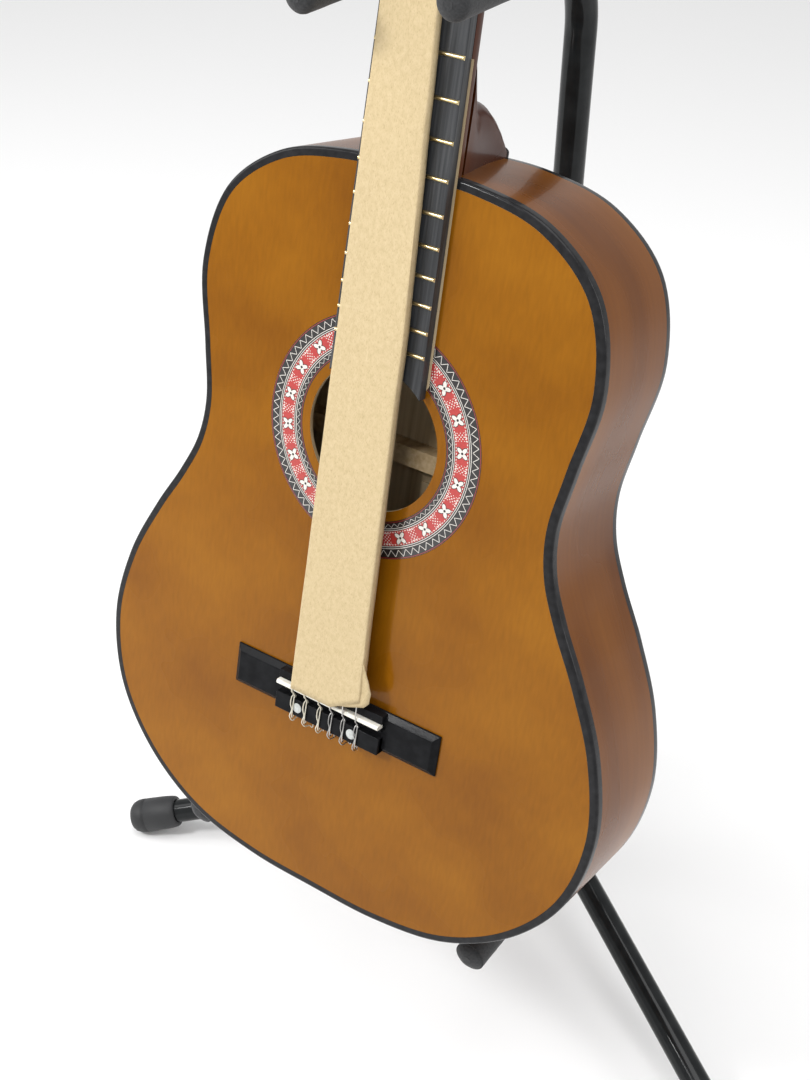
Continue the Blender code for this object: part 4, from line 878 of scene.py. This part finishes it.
tails = ((1.5, -2.5, 5.5), (1.2, -5, 1.2), (0.4, -3.5, -0.4), (1.4, -4, -1.5), (1.5, -3.5, 1.2),
         (-0.8, -5, -0.8))
for index, share in enumerate(STRINGS):
    radius = STRING_RADII[index] * MM
    x = string_x[index]
    string = bmesh.new()
    route = [(x, TIE_FRONT + 0.6 * MM, 6.2 * MM), (x, SADDLE_Y - 1.6 * MM, SADDLE_TOP + 0.3 * MM),
             (x, SADDLE_Y, SADDLE_TOP + radius), (x, SADDLE_Y + 1.6 * MM, SADDLE_TOP + 0.9 * MM)]
    for y in (300 * MM, 470 * MM, SLEEVE_HIGH - 12 * MM):
        left, right = sleeve_edges(y)
        half = min((right - left) / 2 - 2.3 * MM, SADDLE_SPREAD / 2)
        route.append(((left + right) / 2 + 2 * half * share, y, STRING_LIFT))
    nut_x = NUT_SPREAD * share
    route += [(nut_x, NUT_Y + 1 * MM, nut_top + 0.1 * MM), (nut_x, NUT_Y + nut_thick, nut_top - 0.1 * MM)]
    hand = -1 if index < 3 else 1
    rank = (0, 1, 2, 2, 1, 0)[index]
    roller_top = HEAD @ Vector((hand * SLOT_X + (1 - (index % 3)) * 0.5 * MM * hand,
                                TUNER_START + rank * TUNER_PITCH, ROLLER_Z + 4.5 * MM + radius))
    route.append(GUITAR.inverted() @ roller_top)
    rod(string, route, radius, 12)
    thin = 0.36 * MM
    drift, drop, curl = tails[index]
    tie = [(x, TIE_FRONT + 0.5 * MM, 6.2 * MM), (x, (TIE_FRONT + BRIDGE_BACK) / 2, 6.4 * MM),
           (x, BRIDGE_BACK - 0.8 * MM, 6.0 * MM), (x + 0.4 * MM, BRIDGE_BACK - 1.9 * MM, 7.6 * MM),
           (x + 0.9 * MM, BRIDGE_BACK + 0.6 * MM, 9.5 * MM), (x + 0.9 * MM, TIE_FRONT - 1.5 * MM, 9.3 * MM),
           (x + 0.4 * MM, TIE_FRONT + 1.6 * MM, 8.4 * MM), (x - 0.9 * MM, TIE_FRONT + 1.8 * MM, 7.4 * MM),
           (x - 1.2 * MM, TIE_FRONT - 0.2 * MM, 8.9 * MM), (x - 0.6 * MM, TIE_FRONT - 4 * MM, 9.9 * MM),
           (x + 0.5 * MM, TIE_FRONT - 7.5 * MM, 9.7 * MM), (x - 0.4 * MM, BRIDGE_BACK - 0.5 * MM, 9.8 * MM),
           (x + drift * MM * 0.5, BRIDGE_BACK - 4 * MM, 7.5 * MM),
           (x + drift * MM, BRIDGE_BACK + drop * MM, 3.2 * MM),
           (x + (drift + curl) * MM, BRIDGE_BACK + (drop - 1.5) * MM, 1.6 * MM),
           (x + (drift + curl * 1.6) * MM, BRIDGE_BACK + (drop + 2) * MM, 2.2 * MM)]
    rod(string, smooth_path(tie), thin, 10)
    settle(string, f"string_{6 - index}_tied", "guitar", [(nylon if index < 3 else wound).material],
           [f"string_{6 - index}"], GUITAR, 0, 60)

# ---- card sleeve ----
# A strip of kraft card folded into a shallow channel over the strings. Its lower end is crushed into a
# loose flap, and its edges are slightly uneven from handling.
kraft = Surface("kraft_card", 0.86)
pulp = kraft.grain((420, 260, 420), 6)
fibre = kraft.grain((2600, 700, 2600), 3)
tint = kraft.ramp(pulp, (0.25, (0.5, 0.39, 0.215)), (0.75, (0.585, 0.465, 0.275)),
                  (0.5, (0.55, 0.432, 0.247)))
flecks = kraft.ramp(fibre, (0.3, (0.8, 0.77, 0.72)), (0.46, (1, 1, 1)))
kraft.colour(kraft.mix(1.0, tint, flecks, "MULTIPLY"))
kraft.bump(kraft.mix(0.5, pulp, fibre), 0.00035)
SLEEVE_TOP, SLEEVE_DROP, CARD = 14.2 * MM, 9.2 * MM, 0.9 * MM
CREASE_X, CREASE_RISE, CREASE_FADE = 5.3 * MM, 0.62, 50 * MM   # where the lower right corner folds under
sleeve = bmesh.new()
rows = []
low_y = SLEEVE_EDGES[0][0] * MM
steps_long, steps_wide = 130, 24
for i in range(steps_long + 1):
    y = low_y + (SLEEVE_HIGH - low_y) * i / steps_long
    left, right = sleeve_edges(y)
    wave = 0.35 * MM * noise.noise(Vector((0, y * 28, 3)))
    profile = [(left, SLEEVE_DROP), (left, SLEEVE_DROP + 2.5 * MM), (left + 0.05 * MM, SLEEVE_TOP - 0.9 * MM),
               (left + 0.35 * MM, SLEEVE_TOP - 0.25 * MM)]
    for k in range(steps_wide + 1):
        x = left + 0.9 * MM + (right - left - 1.8 * MM) * k / steps_wide
        dent = (noise.noise(Vector((x * 60, y * 34, 0))) * 0.28 * MM
                + noise.noise(Vector((x * 14, y * 11, 5))) * 0.3 * MM)
        profile.append((x, SLEEVE_TOP - 0.12 * MM + min(dent, 0.1 * MM)))
    profile += [(right - 0.35 * MM, SLEEVE_TOP - 0.25 * MM), (right - 0.05 * MM, SLEEVE_TOP - 0.9 * MM),
                (right, SLEEVE_DROP + 2.5 * MM), (right, SLEEVE_DROP)]
    fold = CREASE_RISE * max(0, 1 - (y - low_y) / CREASE_FADE)
    rows.append([sleeve.verts.new((x + wave, y + fold * max(0, x - CREASE_X), z)) for x, z in profile])
for near, far in zip(rows, rows[1:]):
    for a, b, c, d in zip(near, near[1:], far[1:], far):
        sleeve.faces.new((a, b, c, d))
card = settle(sleeve, "card_sleeve_folded", "sleeve", [kraft.material], ["card_sleeve"],
              GUITAR, 0, 60)
board = card.modifiers.new("card_thickness", "SOLIDIFY")
board.thickness = CARD
board.offset = 1.0 if card.data.polygons[steps_wide].normal.z < 0 else -1.0
flap = bmesh.new()
flap_points = [(4, 145.6, 13.2), (16, 149.2, 12.6), (27.5, 153.6, 12.1), (30.2, 157, 11.8),
               (30.4, 163.8, 11.6), (27.5, 172, 12.0), (23.4, 181.7, 13.2), (20.5, 172, 12.9),
               (16, 158, 13.0)]
flap.faces.new([flap.verts.new((x * MM, y * MM, z * MM)) for x, y, z in flap_points])
bmesh.ops.triangulate(flap, faces=flap.faces)
bmesh.ops.subdivide_edges(flap, edges=flap.edges, cuts=3, use_grid_fill=True)
for vertex in flap.verts:
    vertex.co.z += noise.noise(vertex.co * 160) * 0.5 * MM
loose = settle(flap, "card_flap", "sleeve", [kraft.material], (), GUITAR, 0, 60)
skin = loose.modifiers.new("card_thickness", "SOLIDIFY")
skin.thickness = 0.7 * MM

# ---- stand: shaft, boss and collar ----
# Black powder-coated steel tube; the boss and the sliding collar are black plastic mouldings with
# paired ears for the legs, and a winged screw in the collar grips the shaft.
coated = satin_black("coated_steel", (0.008, 0.009, 0.0095), 0.17, 90, 0.00002, 0.7)
moulded = satin_black("moulded_black", (0.016, 0.016, 0.017), 0.42, 320, 0.00006, 0.1)
zinc = Surface("zinc_rivet", 0.35, metallic=1.0)
zinc.colour(zinc.ramp(zinc.grain((700, 700, 700), 3), (0.3, (0.35, 0.35, 0.35)), (0.7, (0.6, 0.6, 0.58))))
shaft_low, shaft_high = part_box("shaft")
SHAFT_Y = (shaft_low.y + shaft_high.y) / 2
SHAFT_RADIUS, TUBE_RADIUS = 11.5 * MM, 9.6 * MM
shaft = turned(bmesh.new(), [(shaft_low.z, SHAFT_RADIUS - 1.5 * MM), (shaft_low.z, SHAFT_RADIUS),
                             (shaft_high.z, SHAFT_RADIUS), (shaft_high.z, SHAFT_RADIUS - 1.5 * MM)],
               (0, SHAFT_Y, 0), (0, 0, 1), 64)
settle(shaft, "shaft_coated", "stand_base", [coated], ["shaft"], Matrix(), 0.3 * MM)
BORE = SHAFT_RADIUS + 0.2 * MM
LEGS = {"front_left": 210, "front_right": 330, "rear": 103}
PIN_REACH = 27 * MM
boss_z = swing["link_swing_rear"]["pos_m"][2]
rise = swing["leg_swing_rear"]["pos_m"][2] - boss_z
collar_z = boss_z + 2 * rise


def ears(skin, height, inner, outer, half_height, start):
    """A pair of round-ended ears towards each leg, or one thick ear when inner is None."""
    for angle in LEGS.values():
        outline = [(start, -half_height)] + arc(PIN_REACH, 0, half_height, -pi / 2, pi / 2, 14)
        outline += [(start, half_height)]
        turn = (Matrix.Translation((0, SHAFT_Y, height)) @ Matrix.Rotation(radians(angle), 4, "Z")
                @ Matrix.Rotation(pi / 2, 4, "X"))
        spans = [(-outer, outer)] if inner is None else [(-outer, -inner), (inner, outer)]
        for near, far in spans:
            plate(skin, [outline], near, far, turn=turn)


def rivets(skin, height, half_width, radius, face):
    for angle in LEGS.values():
        across = Vector((-sin(radians(angle)), cos(radians(angle)), 0))
        centre = Vector((cos(radians(angle)) * PIN_REACH, SHAFT_Y + sin(radians(angle)) * PIN_REACH, height))
        for side in (-1, 1):
            turned(skin, [(-1 * MM, 0), (-1 * MM, radius), (0.5 * MM, radius), (1.2 * MM, radius * 0.75),
                          (1.5 * MM, 0)], centre + across * side * half_width, across * side, 24, face)


def hub(skin, low, high, inner, outer, at, way=(0, 0, 1), sides=64):
    """A short thick tube round an axis."""
    return turned(skin, [(low, inner), (low, outer), (high, outer), (high, inner)], at, way, sides)


boss = hub(bmesh.new(), -8 * MM, 8 * MM, BORE, 17 * MM, (0, SHAFT_Y, boss_z))
ears(boss, boss_z, None, 9.4 * MM, 6 * MM, 14 * MM)
settle(boss, "boss_moulded", "stand_base", [moulded], ["boss"], Matrix(), 0.6 * MM)
collar = hub(bmesh.new(), -10 * MM, 11 * MM, BORE, 19 * MM, (0, SHAFT_Y, collar_z))
ears(collar, collar_z, 3 * MM, 6 * MM, 7 * MM, 15 * MM)
rivets(collar, collar_z, 6 * MM, 3.5 * MM, 1)
screw_way = Vector(swing["collar_screw_turn"]["axis"])
collar_screw = Vector(swing["collar_screw_turn"]["pos_m"])
SCREW_BORE, SCREW_HUB = 2.9 * MM, 7 * MM
hub(collar, -2 * MM, 9 * MM, SCREW_BORE, SCREW_HUB, collar_screw + screw_way * 0.5 * MM, screw_way, 36)
settle(collar, "collar_moulded", "sliding_collar", [moulded, zinc.material], ["collar"],
       Matrix(), 0.6 * MM)


def wing_screw(name, body, joint, node):
    """A thumbscrew: a knurled moulded head with two wings on a zinc stem."""
    skin = bmesh.new()
    turned(skin, [(0.2 * MM, 0), (0.2 * MM, 2.2 * MM), (0.8 * MM, 2.6 * MM), (12 * MM, 2.6 * MM),
                  (12 * MM, 0)], (0, 0, 0), (0, 0, 1), 24, 1)
    knurl = [((9 if k % 2 else 8.5) * MM, 2 * pi * k / 48) for k in range(48)]
    plate(skin, [[(size * cos(turn), size * sin(turn)) for size, turn in knurl]], 12.5 * MM, 20.5 * MM)
    turned(skin, [(11 * MM, 0), (11 * MM, 7.6 * MM), (12.6 * MM, 8.4 * MM), (20.4 * MM, 8.4 * MM),
                  (22 * MM, 6.8 * MM), (22.2 * MM, 0)], (0, 0, 0), (0, 0, 1), 40)
    wing = [(6, -4.4), (11, -3.6), (14.5, -2.0), (16, 0.6), (15.4, 3.2), (13, 4.4), (9, 4.3), (6, 3.8)]
    for side in (-1, 1):
        outline = [(side * x * MM, (z + 18.6) * MM) for x, z in wing]
        plate(skin, [outline], -2.4 * MM, 2.4 * MM, turn=Matrix.Rotation(pi / 2, 4, "X"))
    way = Vector(swing[joint]["axis"])
    place = Matrix.Translation(swing[joint]["pos_m"]) @ way.to_track_quat("Z", "Y").to_matrix().to_4x4()
    settle(skin, name, body, [moulded, zinc.material], [node], place, 0.5 * MM)


wing_screw("collar_wing_screw", "collar_screw", "collar_screw_turn", "collar_knob")
wing_screw("height_wing_screw", "height_screw", "height_screw_turn", "height_knob")

# ---- stand: legs, links and feet ----
# Each leg is a coated tube flattened to a tab at its top, pinned to the collar. Two flat straps link it
# to the boss, and a thick rubber cap covers its foot.
rubber = Surface("foot_rubber", 0.62)
skin_noise = rubber.grain((650, 650, 650), 4)
cloud = rubber.grain((45, 45, 45), 2)
rubber.colour(rubber.mix(cloud, (0.012, 0.0125, 0.013, 1), (0.024, 0.025, 0.027, 1)))
rubber.wear(cloud, 0.45, 0.7)
rubber.bump(skin_noise, 0.0002)
LEG_LENGTH, LINK_LENGTH = 303.9 * MM, 50 * MM
STRAP_IN, STRAP_OUT, PIN_RADIUS = 10.2 * MM, 12.2 * MM, 2.5 * MM


def headed_pins(skin, along, gap, dome):
    """A pin through both straps, with a rounded head outside each."""
    head = STRAP_OUT + gap
    for side in (-1, 1):
        turned(skin, [(0, 0), (0, PIN_RADIUS), (head, PIN_RADIUS), (head, 3.6 * MM),
                      (head + 0.8 * MM, 3.0 * MM), (head + dome, 0)], (along, 0, 0), (0, side, 0), 24, 1)


for leg, angle in LEGS.items():
    outward = Vector((cos(radians(angle)), sin(radians(angle)), 0))
    boss_pin, cross_pin = (Vector(swing[f"{kind}_swing_{leg}"]["pos_m"]) for kind in ("link", "leg"))
    collar_pin = boss_pin + Vector((0, 0, 2 * rise))
    across = Vector((0, 0, 1)).cross(outward)

    def along_frame(start, toward):
        way = (toward - start).normalized()
        columns = (way, across, way.cross(across), start)
        return Matrix([[column[row] for column in columns] for row in range(3)] + [[0, 0, 0, 1]])

    seat = along_frame(collar_pin, cross_pin)
    tube = bmesh.new()
    end = LEG_LENGTH - 4 * MM
    flat = []
    for k in range(13):
        share = k / 12
        ease = share * share * (3 - 2 * share)
        flat.append((8 * MM + 26 * MM * share, 2.6 * MM + (TUBE_RADIUS - 2.6 * MM) * ease,
                     7.5 * MM + (TUBE_RADIUS - 7.5 * MM) * ease))
    flat.append((end, TUBE_RADIUS, TUBE_RADIUS))
    loft(tube, [[(x, wide * cos(2 * pi * k / 40), tall * sin(2 * pi * k / 40)) for k in range(40)]
                for x, wide, tall in flat])
    tab = arc(0, 0, 7 * MM, pi / 2, 3 * pi / 2, 14) + [(14 * MM, -7.2 * MM), (14 * MM, 7.2 * MM)]
    plate(tube, [tab], -2.5 * MM, 2.5 * MM, turn=Matrix.Rotation(pi / 2, 4, "X"))
    headed_pins(tube, LINK_LENGTH, 0.4 * MM, 1.1 * MM)
    settle(tube, f"leg_{leg}_coated", f"leg_arm_{leg}", [coated, zinc.material],
           [f"leg_{leg}"], seat, 0.3 * MM, 40)
    foot = bmesh.new()
    cap = [(0, 0), (0, 5), (0.4, 7.6), (1.4, 10), (3.6, 12.2), (7, 13.6), (10, 14), (12.6, 14), (13.2, 13.4),
           (13.8, 13.4), (14.4, 14), (30, 13.7), (36, 13.2), (39, 12.7), (40, 12.0), (40, 9.8),
           (39, 9.8), (39, 0)]
    turned(foot, [(along * MM, radius * MM) for along, radius in cap], (LEG_LENGTH + 0.6 * MM, 0, 0),
           (-1, 0, 0), 64)
    settle(foot, f"foot_{leg}_rubber", f"leg_arm_{leg}", [rubber.material],
           [f"foot_{leg}"], seat, 0, 60)

    link = bmesh.new()
    bar = (arc(LINK_LENGTH, 0, 5 * MM, -pi / 2, pi / 2, 14)
           + arc(0, 0, 5 * MM, pi / 2, 3 * pi / 2, 14))
    for side in (-1, 1):
        near, far = sorted((side * STRAP_IN, side * STRAP_OUT))
        plate(link, [bar], near, far, turn=Matrix.Rotation(pi / 2, 4, "X"))
    headed_pins(link, 0, 0.2 * MM, 1.2 * MM)
    settle(link, f"link_{leg}_straps", f"link_arm_{leg}", [coated, zinc.material],
           [f"link_{leg}"], along_frame(boss_pin, cross_pin), 0.4 * MM)

# ---- stand: mast, clamp and neck yoke ----
# The upper tube slides in the shaft, is held by a moulded clamp, and bends forward at its top. A steel
# rod bent into a U turns on its end, with a thick foam grip to guard the neck.
BEND_RADIUS = 66 * MM
yoke_pin = Vector(swing["yoke_turn"]["pos_m"])
TIP_Y = SHAFT_Y - 100 * MM
mast_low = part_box("upper_tube")[0].z
mast_path = [(0, SHAFT_Y, mast_low), (0, SHAFT_Y, (mast_low + yoke_pin.z) / 2)]
mast_path += [(0, y, z) for y, z in arc(SHAFT_Y - BEND_RADIUS, yoke_pin.z - BEND_RADIUS, BEND_RADIUS,
                                        0, pi / 2, 32)]
mast_path.append((0, TIP_Y, yoke_pin.z))
settle(rod(bmesh.new(), mast_path, TUBE_RADIUS, 48), "mast_bent", "mast", [coated],
       ["upper_tube"], Matrix(), 0, 50)
clamp_low, clamp_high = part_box("height_clamp")[0].z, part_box("height_clamp")[1].z
clamp = turned(bmesh.new(), [(clamp_low, BORE), (clamp_low, 15 * MM), (clamp_low + 5 * MM, 16.6 * MM),
                             (clamp_low + 8 * MM, 17 * MM), (clamp_high - 8 * MM, 17 * MM),
                             (clamp_high - 4 * MM, 16.2 * MM), (clamp_high, 14 * MM),
                             (clamp_high, TUBE_RADIUS + 0.2 * MM)], (0, SHAFT_Y, 0), (0, 0, 1), 64)
height_screw = Vector(swing["height_screw_turn"]["pos_m"])
hub(clamp, 0, 9.4 * MM, SCREW_BORE, SCREW_HUB, height_screw, Vector(swing["height_screw_turn"]["axis"]), 36)
for height in (clamp_low + 9 * MM, clamp_low + 12 * MM, clamp_low + 15 * MM):
    hub(clamp, height, height + 1.2 * MM, 16 * MM, 17.4 * MM, (0, SHAFT_Y, 0))
settle(clamp, "height_clamp_moulded", "stand_base", [moulded], ["height_clamp"],
       Matrix(), 0.5 * MM)

YOKE_TURN = radians(8)
YOKE_HALF, YOKE_CORNER, GRIP_RADIUS = 44 * MM, 20 * MM, 9 * MM
grip_low, grip_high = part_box("yoke_grip")
yoke_base_y = grip_high.y - GRIP_RADIUS
YOKE = Matrix.Translation((0, yoke_base_y, yoke_pin.z)) @ Matrix.Rotation(-YOKE_TURN, 4, "Y")


def u_path(half, tip, corner, steps=14):
    side = [(x, y, 0) for x, y in arc(half - corner, -corner, corner, pi / 2, 0, steps)]
    straight = [(half, side[-1][1] + (tip - side[-1][1]) * k / 8, 0) for k in range(1, 9)]
    half_path = side + straight
    return [(-x, y, z) for x, y, z in half_path[::-1]] + half_path


def padded_rod(skin, path, radius, wobble, face=0):
    """A foam sleeve on a rod: round ends and a slightly uneven surface."""
    path = [Vector(point) for point in path]
    ends = [radius * (1 - cos(pi / 2 * k / 6)) for k in range(7)]
    lead = (path[1] - path[0]).normalized()
    trail = (path[-2] - path[-1]).normalized()
    points = [path[0] + lead * offset * 0.6 for offset in ends] + path[1:-1]
    points += [path[-1] + trail * offset * 0.6 for offset in ends[::-1]]
    sizes = [max(radius * sin(pi / 2 * k / 6), 0.3 * radius) for k in range(7)]
    sizes += [radius * (1 + wobble * noise.noise(Vector((i * 0.9, 0, 0)))) for i in range(len(path) - 2)]
    sizes += sizes[6::-1]
    return rod(skin, points, sizes, 40, face)


foam = Surface("grip_foam", 0.8)
cells = foam.grain((900, 900, 900), 4)
foam.colour(foam.ramp(cells, (0.3, (0.012, 0.0125, 0.0135)), (0.7, (0.03, 0.031, 0.033))))
foam.shader.inputs["Sheen Weight"].default_value = 0.08
foam.bump(cells, 0.0003)
yoke_reach = grip_low.y - yoke_base_y
grip = padded_rod(bmesh.new(), u_path(YOKE_HALF, yoke_reach, YOKE_CORNER), GRIP_RADIUS, 0.03)
settle(grip, "yoke_grip_foam", "neck_yoke", [foam.material], ["yoke_grip"], YOKE, 0, 60)
tube_end = TIP_Y - yoke_base_y + 12 * MM
hub_end = tube_end + 10 * MM
yoke = turned(bmesh.new(), [(0, 0), (0, 7 * MM), (11 * MM, 7 * MM), (11 * MM, 12.2 * MM),
                            (12 * MM, 13 * MM), (hub_end - 1 * MM, 13 * MM), (hub_end, 12.2 * MM),
                            (hub_end, TUBE_RADIUS + 0.2 * MM), (tube_end, TUBE_RADIUS + 0.2 * MM),
                            (tube_end, 0)], (0, 0, 0), (0, 1, 0), 56)
settle(yoke, "yoke_hub", "neck_yoke", [moulded], ["yoke"], YOKE, 0.4 * MM)

# ---- stand: lower cradle ----
# A steel rod bent into a wide U on a bracket on the shaft, with foam sleeves on both arms that the
# guitar's body rests on.
pad_low, pad_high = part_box("cradle_pad_right")
CRADLE_Z = (pad_low.z + pad_high.z) / 2
CRADLE_HALF = (pad_low.x + pad_high.x) / 2
CRADLE_ROD, PAD_RADIUS = 5 * MM, 10 * MM
cradle_back = SHAFT_Y - 22 * MM
CRADLE = Matrix.Translation((0, cradle_back, CRADLE_Z))
cradle = rod(bmesh.new(), u_path(CRADLE_HALF, pad_low.y + 6 * MM - cradle_back, 34 * MM, 20), CRADLE_ROD, 32)
hub(cradle, -14 * MM, 14 * MM, BORE, 17 * MM, (0, 22 * MM, 0))
box(cradle, (-26 * MM, -4 * MM, -7 * MM), (26 * MM, 7.4 * MM, 7 * MM))
settle(cradle, "cradle_coated", "stand_base", [coated], ["cradle"], CRADLE, 0.6 * MM, 50)
for side, hand in (("left", -1), ("right", 1)):
    arm = [(hand * CRADLE_HALF, pad_low.y + (pad_high.y - pad_low.y) * k / 30, CRADLE_Z) for k in range(31)]
    pad = padded_rod(bmesh.new(), arm, PAD_RADIUS, 0.02)
    settle(pad, f"cradle_pad_{side}_foam", "stand_base", [foam.material],
           [f"cradle_pad_{side}"], Matrix(), 0, 60)
